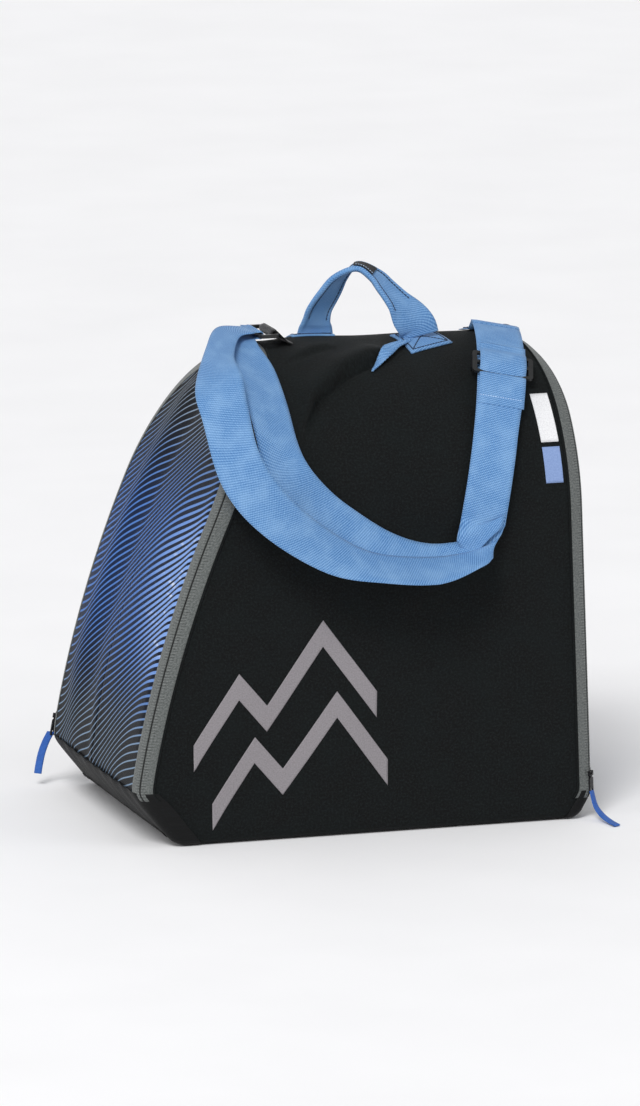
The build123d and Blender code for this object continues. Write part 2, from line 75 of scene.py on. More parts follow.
class Shader:
    """A material whose nodes are added one by one and joined up."""

    def __init__(self, name, roughness=0.7, metallic=0.0, sheen=0.0, specular=0.5):
        self.material = bpy.data.materials.new(name)
        self.material.use_nodes = True
        self.tree = self.material.node_tree
        self.surface = self.tree.nodes["Principled BSDF"]
        self.surface.inputs["Roughness"].default_value = roughness
        self.surface.inputs["Metallic"].default_value = metallic
        self.surface.inputs["Sheen Weight"].default_value = sheen
        self.surface.inputs["Sheen Roughness"].default_value = 0.5
        self.surface.inputs["Specular IOR Level"].default_value = specular

    def node(self, kind, **settings):
        made = self.tree.nodes.new(kind)
        for key, value in settings.items():
            setattr(made, key, value)
        return made

    def feed(self, socket, value):
        if isinstance(value, bpy.types.NodeSocket):
            self.tree.links.new(value, socket)
        else:
            socket.default_value = value

    def math(self, operation, *values, clamp=False):
        made = self.node("ShaderNodeMath", operation=operation, use_clamp=clamp)
        for socket, value in zip(made.inputs, values):
            self.feed(socket, value)
        return made.outputs[0]

    def uv(self, layer):
        """The two coordinates of a UV layer, which are metres along the fabric."""
        split = self.node("ShaderNodeSeparateXYZ")
        self.feed(split.inputs[0], self.node("ShaderNodeUVMap", uv_map=layer).outputs[0])
        return split.outputs[0], split.outputs[1]

    def vector(self, x, y):
        made = self.node("ShaderNodeCombineXYZ")
        for socket, value in zip(made.inputs, (x, y, 0.0)):
            self.feed(socket, value)
        return made.outputs[0]

    def place(self):
        """The place on the fabric as a vector, in metres."""
        return self.node("ShaderNodeUVMap", uv_map="cloth").outputs[0]

    def noise(self, vector, scale, detail=2.0, roughness=0.5):
        made = self.node("ShaderNodeTexNoise")
        self.feed(made.inputs["Vector"], vector)
        made.inputs["Scale"].default_value = scale
        made.inputs["Detail"].default_value = detail
        made.inputs["Roughness"].default_value = roughness
        return made.outputs["Fac"]

    def ramp(self, value, *stops):
        made = self.node("ShaderNodeValToRGB")
        elements = made.color_ramp.elements
        while len(elements) < len(stops):
            elements.new(0.5)
        for element, (position, colour) in zip(elements, stops):
            element.position = position
            element.color = (*colour, 1.0)
        self.feed(made.inputs[0], value)
        return made.outputs[0]

    def mix(self, share, first, second):
        made = self.node("ShaderNodeMix", data_type="RGBA")
        self.feed(made.inputs[0], share)
        self.feed(made.inputs[6], first if not isinstance(first, tuple) else (*first, 1.0))
        self.feed(made.inputs[7], second if not isinstance(second, tuple) else (*second, 1.0))
        return made.outputs[2]

    def span(self, value, low, high, out_low=0.0, out_high=1.0):
        """value from low to high becomes out_low to out_high, smoothly."""
        made = self.node("ShaderNodeMapRange", interpolation_type="SMOOTHSTEP")
        for socket, number in zip(made.inputs, (value, low, high, out_low, out_high)):
            self.feed(socket, number)
        return made.outputs[0]

    def bump(self, height, distance, strength=1.0):
        made = self.node("ShaderNodeBump")
        made.inputs["Strength"].default_value = strength
        made.inputs["Distance"].default_value = distance
        self.feed(made.inputs["Height"], height)
        self.feed(self.surface.inputs["Normal"], made.outputs[0])

    def finish(self, colour, roughness=None):
        self.feed(self.surface.inputs["Base Color"], colour)
        if roughness is not None:
            self.feed(self.surface.inputs["Roughness"], roughness)
        return self.material


def woven(shader, pitch_u, pitch_v):
    """Height of a plain weave whose threads are pitch_u and pitch_v apart, from 0 to 1."""
    u, v = shader.uv("cloth")
    across = shader.math("SINE", shader.math("MULTIPLY", u, 2 * pi / pitch_u))
    along = shader.math("SINE", shader.math("MULTIPLY", v, 2 * pi / pitch_v))
    product = shader.math("MULTIPLY", across, along)
    return shader.math("MULTIPLY_ADD", product, 0.5, 0.5)


def melange(name, dark, light, roughness, thread=0.0011, sheen=0.25):
    """Near-black polyester with lighter yarns in it."""
    shader = Shader(name, sheen=sheen, specular=0.22)
    place = shader.place()
    yarns = shader.noise(place, 520.0, 3.0, 0.8)
    patches = shader.noise(place, 35.0, 3.0)
    weave = woven(shader, thread, thread)
    colour = shader.ramp(yarns, (0.45, dark), (0.78, light))
    colour = shader.mix(shader.span(patches, 0.35, 0.7, 0.0, 0.25), colour, light)
    height = shader.math("ADD", weave, shader.math("MULTIPLY", yarns, 0.8))
    shader.bump(height, 0.00022, 0.7)
    return shader.finish(colour, shader.span(patches, 0.2, 0.8, roughness - 0.06, roughness + 0.08))


def striped_material():
    """Thin wavy lines over black that turns blue half way up, thicker towards the front zip."""
    shader = Shader("striped_fabric", sheen=0.02, specular=0.15)
    forward, height = shader.uv("print")
    _, wave = shader.uv("stripes")
    period = 0.0063
    phase = shader.math("FRACT", shader.math("DIVIDE", wave, period))
    off_centre = shader.math("ABSOLUTE", shader.math("SUBTRACT", phase, 0.5))
    from_middle = shader.math("ABSOLUTE", shader.math("SUBTRACT", height, 0.53))
    middle = shader.span(from_middle, 0.02, 0.36, 1.0, 0.0)
    near_zip = shader.span(forward, 0.05, 0.62, 1.0, 0.0)
    glow = shader.math("MULTIPLY", middle, near_zip)
    half_line = shader.math("MULTIPLY_ADD", glow, 0.13, 0.09)
    half_line = shader.math("MULTIPLY_ADD", middle, 0.07, half_line)
    ink = shader.math("SUBTRACT", half_line, off_centre)
    ink = shader.span(ink, -0.035, 0.035)
    ground = shader.ramp(
        shader.math("MULTIPLY", middle, shader.span(forward, -0.3, 0.9, 0.55, 1.0)),
        (0.0, (0.0010, 0.0018, 0.0040)), (0.35, (0.0010, 0.0038, 0.014)), (0.9, (0.0015, 0.011, 0.046)),
    )
    ground = shader.mix(shader.span(glow, 0.45, 0.95, 0.0, 0.85), ground, (0.002, 0.004, 0.012))
    line = shader.ramp(
        middle, (0.0, (0.20, 0.29, 0.41)), (0.3, (0.10, 0.20, 0.44)), (0.75, (0.070, 0.18, 0.50)),
    )
    line = shader.mix(shader.span(glow, 0.25, 0.9), line, (0.21, 0.36, 0.74))
    line = shader.mix(shader.span(height, 0.74, 0.93, 0.0, 0.8), line, (0.24, 0.28, 0.33))
    stretched = shader.vector(shader.math("MULTIPLY", forward, 6.0), shader.math("MULTIPLY", height, 60.0))
    glint = shader.span(shader.noise(stretched, 1.0, 1.0), 0.56, 0.72, 0.0, 0.7)
    glint = shader.math("MULTIPLY", glint, shader.span(glow, 0.55, 0.9))
    line = shader.mix(glint, line, (0.72, 0.80, 0.95))
    yarns = shader.noise(shader.place(), 900.0, 2.0)
    colour = shader.mix(shader.math("MULTIPLY", ink, shader.span(yarns, 0.2, 0.6, 0.75, 1.0)), ground, line)
    weave = woven(shader, 0.0009, 0.0009)
    shader.bump(shader.math("ADD", weave, yarns), 0.00016, 0.6)
    return shader.finish(colour, 0.62)


def webbing_material(name, shade, mid, light, diagonal=0.5, pitch=0.0021):
    """Webbing: small ribs across it, twilled. Its colour runs from the shade colour in the rib hollows to
    the light colour on the rib crests, which is painted shade and painted highlight, mixed with the
    threads' own light and dark.
    """
    shader = Shader(name, sheen=0.08, specular=0.3)
    u, v = shader.uv("cloth")
    lean = shader.math("MULTIPLY_ADD", u, diagonal, v)
    ribs = shader.math("SINE", shader.math("MULTIPLY", lean, 2 * pi / pitch))
    cells = shader.math("SINE", shader.math("MULTIPLY", u, 2 * pi / 0.0013))
    grain = shader.math("MULTIPLY_ADD", shader.math("MULTIPLY", ribs, cells), 0.30, 0.5)
    grain = shader.math("MULTIPLY_ADD", ribs, 0.22, grain)
    yarns = shader.noise(shader.place(), 700.0, 2.0)
    # Large lighter patches placed by noise: painted light, standing in for the better-lit parts of the
    # strap, not wear.
    painted_light_patches = shader.noise(shader.place(), 45.0, 2.0)
    # tone follows the rib relief: painted shade in the hollows and painted highlight on the crests, plus
    # the yarns' own random tone
    tone = shader.math("MULTIPLY_ADD", yarns, 0.35, shader.math("MULTIPLY", grain, 0.65))
    colour = shader.ramp(tone, (0.12, shade), (0.48, mid), (0.9, light))
    colour = shader.mix(shader.span(painted_light_patches, 0.35, 0.75, 0.0, 0.28), colour, light)
    shader.bump(grain, 0.0004, 0.8)
    return shader.finish(colour, 0.66)


def tape_material():
    """Grey zip tape with a herringbone weave and the ribs of the coil under its edge."""
    shader = Shader("zip_tape", sheen=0.15, specular=0.4)
    u, v = shader.uv("cloth")
    twill = shader.math("SINE", shader.math("MULTIPLY", shader.math("ADD", v, u), 2 * pi / 0.0012))
    ribs = shader.math("SINE", shader.math("MULTIPLY", v, 2 * pi / 0.0023))
    by_coil = shader.span(u, 0.0035, 0.0055, 1.0, 0.0)
    weave = shader.math("MULTIPLY", twill, 0.3)
    height = shader.math("MULTIPLY_ADD", shader.math("MULTIPLY", ribs, by_coil), 0.6, weave)
    yarns = shader.noise(shader.place(), 700.0, 2.0)
    tone = shader.math("MULTIPLY_ADD", height, 0.22, yarns)
    dark, mid, light = (0.045, 0.050, 0.048), (0.105, 0.115, 0.111), (0.20, 0.212, 0.205)
    colour = shader.ramp(tone, (0.2, dark), (0.5, mid), (0.85, light))
    dark_edge = shader.span(u, 0.0004, 0.0011, 1.0, 0.0)
    colour = shader.mix(dark_edge, colour, (0.012, 0.014, 0.013))
    shader.bump(height, 0.0004, 0.8)
    return shader.finish(colour, 0.62)


def plain_material(name, base, other, roughness, scale, metallic=0.0, bump=0.00005):
    """Moulded plastic, metal or board: one colour, faintly mottled, with a fine surface."""
    shader = Shader(name, metallic=metallic)
    place = shader.node("ShaderNodeTexCoord").outputs["Object"]
    fine = shader.noise(place, scale, 3.0)
    broad = shader.noise(place, scale / 8, 2.0)
    colour = shader.mix(shader.span(broad, 0.3, 0.7), base, other)
    shader.bump(fine, bump, 0.6)
    return shader.finish(colour, shader.span(fine, 0.3, 0.7, roughness - 0.07, roughness + 0.07))


def print_material(name, colour_a, colour_b):
    """Ink printed on the fabric, which shows the weave through it."""
    shader = Shader(name, specular=0.35)
    place = shader.place()
    yarns = shader.noise(place, 800.0, 3.0, 0.7)
    weave = woven(shader, 0.0011, 0.0011)
    colour = shader.ramp(yarns, (0.3, colour_a), (0.65, colour_b))
    shader.bump(shader.math("ADD", weave, yarns), 0.0002, 0.6)
    return shader.finish(colour, 0.62)


SHELL = melange("shell_fabric", (0.0006, 0.0011, 0.0012), (0.0105, 0.0150, 0.0155), 0.90, sheen=0.02)
BASE = melange("base_fabric", (0.0010, 0.0012, 0.0014), (0.0040, 0.0046, 0.0052), 0.66, 0.0016, 0.02)
LINING = melange("lining", (0.030, 0.032, 0.035), (0.075, 0.08, 0.085), 0.8, 0.0014)
STRIPED = striped_material()
STRAP = webbing_material("webbing", (0.016, 0.075, 0.26), (0.090, 0.240, 0.50), (0.31, 0.51, 0.76))
RIBBON = webbing_material(
    "pull_ribbon", (0.006, 0.035, 0.19), (0.018, 0.09, 0.38), (0.06, 0.20, 0.60), 0.0, 0.0011
)
TAPE = tape_material()
BINDING = melange("binding", (0.006, 0.006, 0.007), (0.02, 0.02, 0.022), 0.7, 0.0008)
THREAD_DARK = plain_material("thread_dark", (0.004, 0.012, 0.035), (0.008, 0.02, 0.06), 0.6, 2000.0)
THREAD_LIGHT = plain_material("thread_light", (0.45, 0.62, 0.88), (0.62, 0.76, 0.95), 0.6, 2000.0)
COIL = plain_material("zip_coil", (0.020, 0.021, 0.021), (0.035, 0.036, 0.036), 0.4, 1500.0)
METAL = plain_material("zip_metal", (0.016, 0.016, 0.018), (0.035, 0.034, 0.035), 0.32, 900.0, 0.9)
BUCKLE = plain_material(
    "buckle", (0.006, 0.0065, 0.007), (0.012, 0.0125, 0.013), 0.38, 1200.0, bump=0.00008
)
BOARD = plain_material("board", (0.012, 0.012, 0.013), (0.03, 0.03, 0.032), 0.6, 500.0, bump=0.0002)
LABEL = plain_material("label", (0.006, 0.006, 0.007), (0.016, 0.016, 0.018), 0.7, 1500.0, bump=0.0001)
PRINT_GREY = print_material("print_grey", (0.20, 0.185, 0.195), (0.285, 0.265, 0.28))
PRINT_WHITE = print_material("print_white", (0.66, 0.66, 0.67), (0.85, 0.85, 0.86))
PRINT_BLUE = print_material("print_blue", (0.17, 0.26, 0.50), (0.25, 0.35, 0.60))


# ---------------------------------------------------------------- mesh making

def add_mesh(name, points, faces, layers, materials):
    """A smooth mesh whose UV layers give each vertex one place, in metres."""
    mesh = bpy.data.meshes.new(name)
    mesh.from_pydata(np.asarray(points, float).reshape(-1, 3).tolist(), [], faces)
    corner = np.empty(len(mesh.loops), int)
    mesh.loops.foreach_get("vertex_index", corner)
    for layer, values in layers.items():
        data = mesh.uv_layers.new(name=layer).data
        data.foreach_set("uv", np.asarray(values, float).reshape(-1, 2)[corner].ravel())
    for material in materials:
        mesh.materials.append(material)
    mesh.shade_smooth()
    made = bpy.data.objects.new(name, mesh)
    bpy.context.scene.collection.objects.link(made)
    return made


def grid_faces(rows, columns, flip=False):
    """The quads of a rows by columns grid of points."""
    faces = []
    for i in range(rows - 1):
        for j in range(columns - 1):
            a = i * columns + j
            quad = (a, a + 1, a + columns + 1, a + columns)
            faces.append(quad[::-1] if flip else quad)
    return faces


def tube_faces(rings, loop):
    """The faces of a closed tube: quads between its rings of points, and a cap at each end."""
    faces = []
    for i in range(rings - 1):
        for j in range(loop):
            a, b = i * loop + j, i * loop + (j + 1) % loop
            faces.append((a, b, b + loop, a + loop))
    last = (rings - 1) * loop
    faces.append(tuple(range(loop))[::-1])
    faces.append(tuple(range(last, last + loop)))
    return faces


def merge_doubles(piece, distance=1e-6):
    shape = bmesh.new()
    shape.from_mesh(piece.data)
    bmesh.ops.remove_doubles(shape, verts=shape.verts, dist=distance)
    bmesh.ops.dissolve_degenerate(shape, edges=shape.edges, dist=distance)
    shape.to_mesh(piece.data)
    shape.free()


def face_towards(piece, way):
    """Turns the faces of an open sheet so that on the whole they look this way."""
    if sum(face.normal.dot(way) * face.area for face in piece.data.polygons) < 0:
        piece.data.flip_normals()


def settle(piece):
    """Applies the piece's modifiers, so that its mesh is final."""
    graph = bpy.context.evaluated_depsgraph_get()
    final = bpy.data.meshes.new_from_object(piece.evaluated_get(graph))
    piece.modifiers.clear()
    piece.data = final
    return piece


def thicken(piece, thickness, inner_material=0):
    """Gives a sheet its thickness, inwards from the surface it was made on."""
    solid = piece.modifiers.new("thickness", "SOLIDIFY")
    solid.thickness = thickness
    solid.offset = -1.0
    solid.material_offset = inner_material
    solid.use_even_offset = False
    return settle(piece)


def unit(vectors):
    length = np.linalg.norm(vectors, axis=-1, keepdims=True)
    return vectors / np.maximum(length, 1e-12)


def lengths_along(path):
    """The length of the path from its start to each of its points."""
    return np.concatenate([[0], np.cumsum(np.linalg.norm(np.diff(path, axis=0), axis=1))])


def through(controls, per_span):
    """Points on a smooth curve through the controls, each a row of numbers."""
    controls = np.asarray(controls, float)
    before = 2 * controls[:1] - controls[1:2]
    after = 2 * controls[-1:] - controls[-2:-1]
    padded = np.concatenate([before, controls, after])
    rows = []
    for i in range(len(controls) - 1):
        p0, p1, p2, p3 = padded[i:i + 4]
        for k in range(per_span):
            t = k / per_span
            rows.append(
                p1 + 0.5 * t * (p2 - p0)
                + t * t * (p0 - 2.5 * p1 + 2 * p2 - 0.5 * p3)
                + t**3 * (1.5 * p1 - 0.5 * p0 - 1.5 * p2 + 0.5 * p3)
            )
    rows.append(controls[-1])
    return np.array(rows)


def ribbon(name, left, right, thickness, material, cells=8, cup=0.0):
    """A closed strip of webbing between two edge lines. cup bows it up in the middle."""
    left, right = np.asarray(left, float), np.asarray(right, float)
    middle = (left + right) / 2
    tangent = unit(np.gradient(middle, axis=0))
    across = right - left
    normal = unit(np.cross(tangent, across))
    width = np.linalg.norm(across, axis=1)
    run = lengths_along(middle)
    points, cloth = [], []
    for i in range(len(left)):
        shares = np.linspace(0, 1, cells + 1)
        for sign, order in ((1, shares), (-1, shares[::-1])):
            for share in order:
                edge = min(share, 1 - share) * width[i]
                half = thickness / 2 * min(1.0, 0.35 + edge / 0.0012)
                bow = cup * (1 - (2 * share - 1) ** 2)
                points.append(left[i] + across[i] * share + normal[i] * (sign * half + bow))
                cloth.append((share * width[i], run[i]))
    faces = tube_faces(len(left), 2 * (cells + 1))
    piece = add_mesh(name, points, faces, {"cloth": cloth}, [material])
    fix_normals(piece)
    return piece


def fix_normals(piece):
    shape = bmesh.new()
    shape.from_mesh(piece.data)
    bmesh.ops.recalc_face_normals(shape, faces=shape.faces)
    shape.to_mesh(piece.data)
    shape.free()


def stitches(name, path, normal, material, pitch=0.0028, length=0.0021, radius=0.00032):
    """A sewn line: one small closed thread for each stitch along the path."""
    path = np.asarray(path, float)
    normal = np.broadcast_to(np.asarray(normal, float), path.shape)
    steps = lengths_along(path)

    def at_length(values, length_along):
        return np.array([np.interp(length_along, steps, values[:, k]) for k in range(3)])

    points, faces, cloth = [], [], []
    sides = 5
    nearby = 0.0005
    rings = ((-0.5, 0.35), (-0.28, 1.0), (0.28, 1.0), (0.5, 0.35))
    thread_faces = tube_faces(len(rings), sides)
    for n in range(int(steps[-1] / pitch)):
        at = (n + 0.5) * pitch
        centre = at_length(path, at)
        way = unit(at_length(path, at + nearby) - at_length(path, at - nearby))
        up = unit(at_length(normal, at))
        side = np.cross(way, up)
        first = len(points)
        for share, size in rings:
            for k in range(sides):
                turn = 2 * pi * k / sides
                points.append(
                    centre + way * share * length
                    + (side * cos(turn) + up * (sin(turn) - 2 * abs(share) * 0.7)) * radius * size
                )
                cloth.append((k * radius, at + share * length))
        faces += [tuple(first + corner for corner in face) for face in thread_faces]
    piece = add_mesh(name, points, faces, {"cloth": cloth}, [material])
    fix_normals(piece)
    return piece


# ---------------------------------------------------------------- the bag's surface

def smooth_max(p, q, rounding):
    return 0.5 * (p + q + np.sqrt((p - q) ** 2 + rounding * rounding))


def smooth_step(value, low, high):
    share = np.clip((value - low) / (high - low), 0, 1)
    return share * share * (3 - 2 * share)


def end_x(side, z):
    """X of the toe or heel end at height z, slanting in below the top of the base band."""
    if side == TOE:
        arc = toe_axis_x - np.sqrt(toe_radius**2 - (z - toe_axis_z) ** 2)
        slant = floor_left + (toe_low_x - floor_left) * z / toe_low_z
        return smooth_max(arc, slant, 0.005)
    line = heel_low_x + (z - heel_low_z) * (heel_high_x - heel_low_x) / (heel_high_z - heel_low_z)
    slant = floor_right + (heel_low_x - floor_right) * z / heel_low_z
    return -smooth_max(-line, -slant, 0.004)


round_length = pi * half_depth
profile_length = 2 * dome_z + round_length
corner_start = bottom_radius - bottom_radius * pi / 2
half_floor = half_depth - bottom_radius


def profile(t):
    """The outline from the middle of the floor up the front, over and down the back.

    t is the height on the front, and goes on as a length round the outline. Gives y, z and the
    outward normal's y and z.
    """
    back = t > profile_length / 2
    m = np.where(back, profile_length - t, t)
    lift = np.clip((m - dome_z) / half_depth, 0, pi / 2)
    turn = np.clip((bottom_radius - m) / bottom_radius, 0, pi / 2)
    y = -half_depth * np.cos(lift) + bottom_radius * (1 - np.cos(turn)) + np.maximum(0, corner_start - m)
    z = np.clip(m, bottom_radius, dome_z) + half_depth * np.sin(lift) - bottom_radius * np.sin(turn)
    ny = -np.cos(lift) * np.cos(turn)
    nz = np.sin(lift) - np.sin(turn)
    sign = np.where(back, -1.0, 1.0)
    return y * sign, z, ny * sign, nz


def corner_radius(side, t):
    """How far the edge between an end and the round top is rounded: softer over the crest."""
    m = np.where(t > profile_length / 2, profile_length - t, t)
    from_crest = np.abs(t - profile_length / 2) / half_depth
    soft = 0.022 if side == HEEL else 0.005
    low = 0.006 + 0.008 * smooth_step(m, 0.0, 0.044)
    return low + soft * smooth_step(0.95 - from_crest, 0.0, 0.95)


def edge_section(s, radius):
    """Round an edge at signed length s from its middle: depth a from the end, depth b from the
    round top, and how much the outward normal is each one's."""
    quarter = radius * pi / 4
    turn = np.clip(pi / 4 + s / radius, 0, pi / 2)
    a = radius * (1 - np.sin(turn)) + np.maximum(0, -s - quarter)
    b = radius * (1 - np.cos(turn)) + np.maximum(0, s - quarter)
    return a, b, np.sin(turn), np.cos(turn)


def crease(x, t, path, height, width, reach):
    """A fold that ends in a hollow on one side of the path (x, t) and fades on the other."""
    best = np.full(np.shape(x), 1e9)
    signed = np.zeros(np.shape(x))
    for (x0, t0), (x1, t1) in zip(path[:-1], path[1:]):
        dx, dt = x1 - x0, t1 - t0
        span = np.hypot(dx, dt)
        share = np.clip(((x - x0) * dx + (t - t0) * dt) / span**2, 0, 1)
        away = np.hypot(x - x0 - share * dx, t - t0 - share * dt)
        side = np.sign((x - x0) * dt - (t - t0) * dx)
        signed = np.where(away < best, side, signed)
        best = np.minimum(best, away)
    swell = np.where(signed > 0, np.exp(-((best - width) / reach) ** 2), 0.0)
    swell = np.where((signed > 0) & (best < width), smooth_step(best, 0, width), swell)
    hollow = np.exp(-((best / width) ** 2)) * 0.45
    x_ends = np.array([p[0] for p in path])
    fade = smooth_step(x, x_ends.min() - 0.02, x_ends.min() + 0.015)
    fade = fade * smooth_step(-x, -x_ends.max() - 0.02, -x_ends.max() + 0.015)
    return height * fade * (swell - hollow)


def sag(x, t):
    """How far the soft front, top and back stand off their plain shape, in metres."""
    m = np.where(t > profile_length / 2, profile_length - t, t)
    back = t > profile_length / 2
    wave = 0.0011 * np.sin(23 * x + 1.3) * np.sin(17 * m + 0.4)
    wave += 0.0007 * np.sin(41 * x + 29 * m + 2.1) + 0.0005 * np.sin(67 * x - 38 * m + 0.3)
    slump = [(0.036, 0.412), (0.000, 0.393), (-0.032, 0.368), (-0.047, 0.342)]
    folds = crease(x, t, slump, 0.0098, 0.0042, 0.018)
    folds += crease(x, t, [(-0.005, 0.432), (-0.048, 0.415), (-0.072, 0.400)], 0.0022, 0.005, 0.012)
    folds += crease(x, t, [(-0.150, 0.060), (-0.163, 0.036), (-0.158, 0.018)], 0.0020, 0.004, 0.008)
    folds = np.where(back, 0.0, folds)
    back_fold = [(0.080, 0.395), (0.020, 0.372), (-0.050, 0.378)]
    high_back = crease(x, profile_length - t, back_fold, 0.0030, 0.007, 0.020)
    belly = 0.0025 * smooth_step(m, 0.02, 0.16) * smooth_step(0.30 - m, 0.0, 0.12)
    return wave + folds + np.where(back, high_back, 0.0) + belly


def edge_place(side, t, s, lift=0.0):
    """A point near an end's rounded edge, and the outward normal there."""
    t, s = np.broadcast_arrays(np.asarray(t, float), np.asarray(s, float))
    y, z, ny, nz = profile(t)
    a, b, end_share, round_share = edge_section(s, corner_radius(side, t))
    y, z = y - ny * b, z - nz * b
    slope = (end_x(side, z + 0.0005) - end_x(side, z - 0.0005)) / 0.001
    stretch = np.sqrt(1 + slope**2)
    x = end_x(side, z) - side * a * stretch
    end_normal = np.stack([side / stretch, np.zeros_like(x), -side * slope / stretch], -1)
    round_normal = np.stack([np.zeros_like(x), ny, nz], -1)
    normal = unit(end_share[..., None] * end_normal + round_share[..., None] * round_normal)
    return np.stack([x, y, z], -1) + normal * np.asarray(lift)[..., None], normal


def outline_length(y):
    """The length round the outline to the place on the round top above y."""
    return profile_length / 2 + half_depth * np.arcsin(y / half_depth)


def on_bag(x, t, lift=0.0):
    """A point on the front, top or back away from the ends, and its outward normal."""
    x, t = np.broadcast_arrays(np.asarray(x, float), np.asarray(t, float))
    y, z, ny, nz = profile(t)
    toe_gap = x - end_x(TOE, z)
    heel_gap = end_x(HEEL, z) - x
    calm = smooth_step(np.minimum(toe_gap, heel_gap), 0.016, 0.06) * smooth_step(z, 0.0, 0.03)
    off = sag(x, t) * calm + lift
    normal = np.stack([np.zeros_like(x), ny, nz], -1)
    return np.stack([x, y + ny * off, z + nz * off], -1), normal


slot_half = 0.0004
body_rows = np.concatenate([
    np.linspace(-half_floor + corner_start, corner_start, 12)[:-1],
    np.linspace(corner_start, bottom_radius, 6)[:-1],
    np.linspace(bottom_radius, profile_length - bottom_radius, 250),
    np.linspace(profile_length - bottom_radius, profile_length - corner_start, 6)[1:],
    np.linspace(profile_length - corner_start, profile_length - corner_start + half_floor, 12)[1:],
])


def edge_columns(side, t):
    """The points from the slot of the zip round onto the front or back."""
    reach = corner_radius(side, t) * pi / 4 + 0.004
    return [edge_place(side, t, -slot_half - share * reach)[0] for share in np.linspace(0, 1, 9)]


toe_edge = edge_columns(TOE, body_rows)
heel_edge = edge_columns(HEEL, body_rows)
columns = list(toe_edge)
for share in np.linspace(0, 1, 122)[1:-1]:
    between_x = toe_edge[-1][:, 0] * (1 - share) + heel_edge[-1][:, 0] * share
    columns.append(on_bag(between_x, body_rows)[0])
columns += heel_edge[::-1]
body_points = np.stack(columns, 1)
body_along = np.broadcast_to(body_rows[:, None], body_points.shape[:2])
body_cloth = np.stack([body_points[:, :, 0], body_along], -1)
body = add_mesh(
    "bag_body", body_points, grid_faces(*body_points.shape[:2]), {"cloth": body_cloth}, [SHELL, LINING]
)
merge_doubles(body, 2e-5)
fix_normals(body)
thicken(body, skin, 1)
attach(body, "bag")
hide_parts("front_panel", "back_panel", "base_panel", "crest_seam_tape")


# ---------------------------------------------------------------- ends, zips and bindings

def end_panel(side):
    """The whole fabric of one end as one sheet: base band, fixed skirt and flap. The flap folds down on the
    bag, but here it is not split off and does not fold.
    """
    name = END_NAME[side]
    rows = body_rows[::2]
    quarter = corner_radius(side, rows) * pi / 4
    points = [edge_place(side, rows, slot_half + share * quarter)[0] for share in np.linspace(0, 1, 6)]
    rim = points[-1]
    spine_z = np.clip(rim[:, 2], 0.030, dome_z)
    for k in np.linspace(0, 1, 34)[1:]:
        y = rim[:, 1] * (1 - k)
        z = rim[:, 2] * (1 - k) + spine_z * k
        round_side = np.sqrt(np.maximum(0.0, 1 - (y / half_depth) ** 2))
        height = smooth_step(z, 0.05, 0.14) * smooth_step(crest_z - z, 0.02, 0.16)
        swell = 0.0030 * round_side * height
        swell += 0.0016 * smooth_step(k, 0.0, 0.2) * np.sin(52 * y + 9 * z + 1.0) * height
        swell += fold_ridge(y, z) * smooth_step(k, 0.0, 0.15)
        points.append(np.stack([end_x(side, z) + side * swell, y, z], -1))
    points = np.stack(points, 1)
    y, z = points[..., 1], points[..., 2]
    forward = y / (2 * half_depth) + 0.5
    layers = {
        "cloth": np.stack([y, z], -1),
        "print": np.stack([forward, z / crest_z], -1),
        "stripes": np.stack([forward, stripe_height(forward, z)], -1),
    }
    faces = grid_faces(*points.shape[:2], flip=side == TOE)
    panel = add_mesh(f"{name}_end", points, faces, layers, [STRIPED, LINING, BASE, BASE])
    band_top = BAND_TOP[side]
    for face in panel.data.polygons:
        if face.center.z < band_top:
            face.material_index = 2
    merge_doubles(panel, 2e-5)
    face_towards(panel, Vector((side, 0, 0)))
    thicken(panel, skin, 1)
    bend_at_hinge(panel)
    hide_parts(f"{name}_side_panel", f"{name}_side_skirt")


def fold_ridge(y, z):
    """The soft upright folds in an end panel."""
    forward = y / (2 * half_depth) + 0.5
    centre = 0.70 + 0.14 * (1 - z / crest_z)
    ridge = 0.0034 * np.exp(-(((forward - centre) / 0.055) ** 2))
    dip = -0.0024 * np.exp(-(((forward - centre + 0.12) / 0.06) ** 2))
    low_centre = 0.52 + 0.5 * (z - 0.06)
    low = 0.0020 * np.exp(-(((forward - low_centre) / 0.035) ** 2)) * smooth_step(0.16 - z, 0.0, 0.08)
    return (ridge + dip) * smooth_step(z, 0.05, 0.12) + low


def stripe_height(forward, z):
    """The printed lines are level in this number: they dip towards the back in a long wave."""
    centre = 0.70 + 0.14 * (1 - z / crest_z)
    low_centre = 0.50 + 0.6 * (z - 0.06)
    wave = 0.40 * forward + 0.050 * np.tanh((forward - 0.38) / 0.16)
    wave = wave + 0.045 * np.tanh((forward - centre) / 0.06)
    wave = wave + 0.014 * np.tanh((forward - low_centre) / 0.03) * smooth_step(0.17 - z, 0.0, 0.09)
    ripple = 0.0035 * np.sin(14 * forward + 22 * z)
    return z + 2 * half_depth * wave + ripple


def bend_at_hinge(piece):
    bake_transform(piece)


def along_edge(low, high, step=0.0022):
    """Lengths round the outline from height low on the front to height high on the back."""
    return np.linspace(low, profile_length - high, int((profile_length - low - high) / step))


def edge_strip(name, side, rows, sections, material):
    """A closed strip that follows an end's rounded edge. sections are (s, lift) round it."""
    lines = [edge_place(side, rows, np.full(rows.shape, s), lift)[0] for s, lift in sections]
    points = np.stack(lines, 1)
    cloth = np.stack([
        np.broadcast_to(np.abs([s for s, _ in sections])[None, :], points.shape[:2]),
        np.broadcast_to(rows[:, None], points.shape[:2]),
    ], -1)
    faces = tube_faces(len(rows), len(sections))
    piece = add_mesh(name, points, faces, {"cloth": cloth}, [material])
    fix_normals(piece)
    return piece


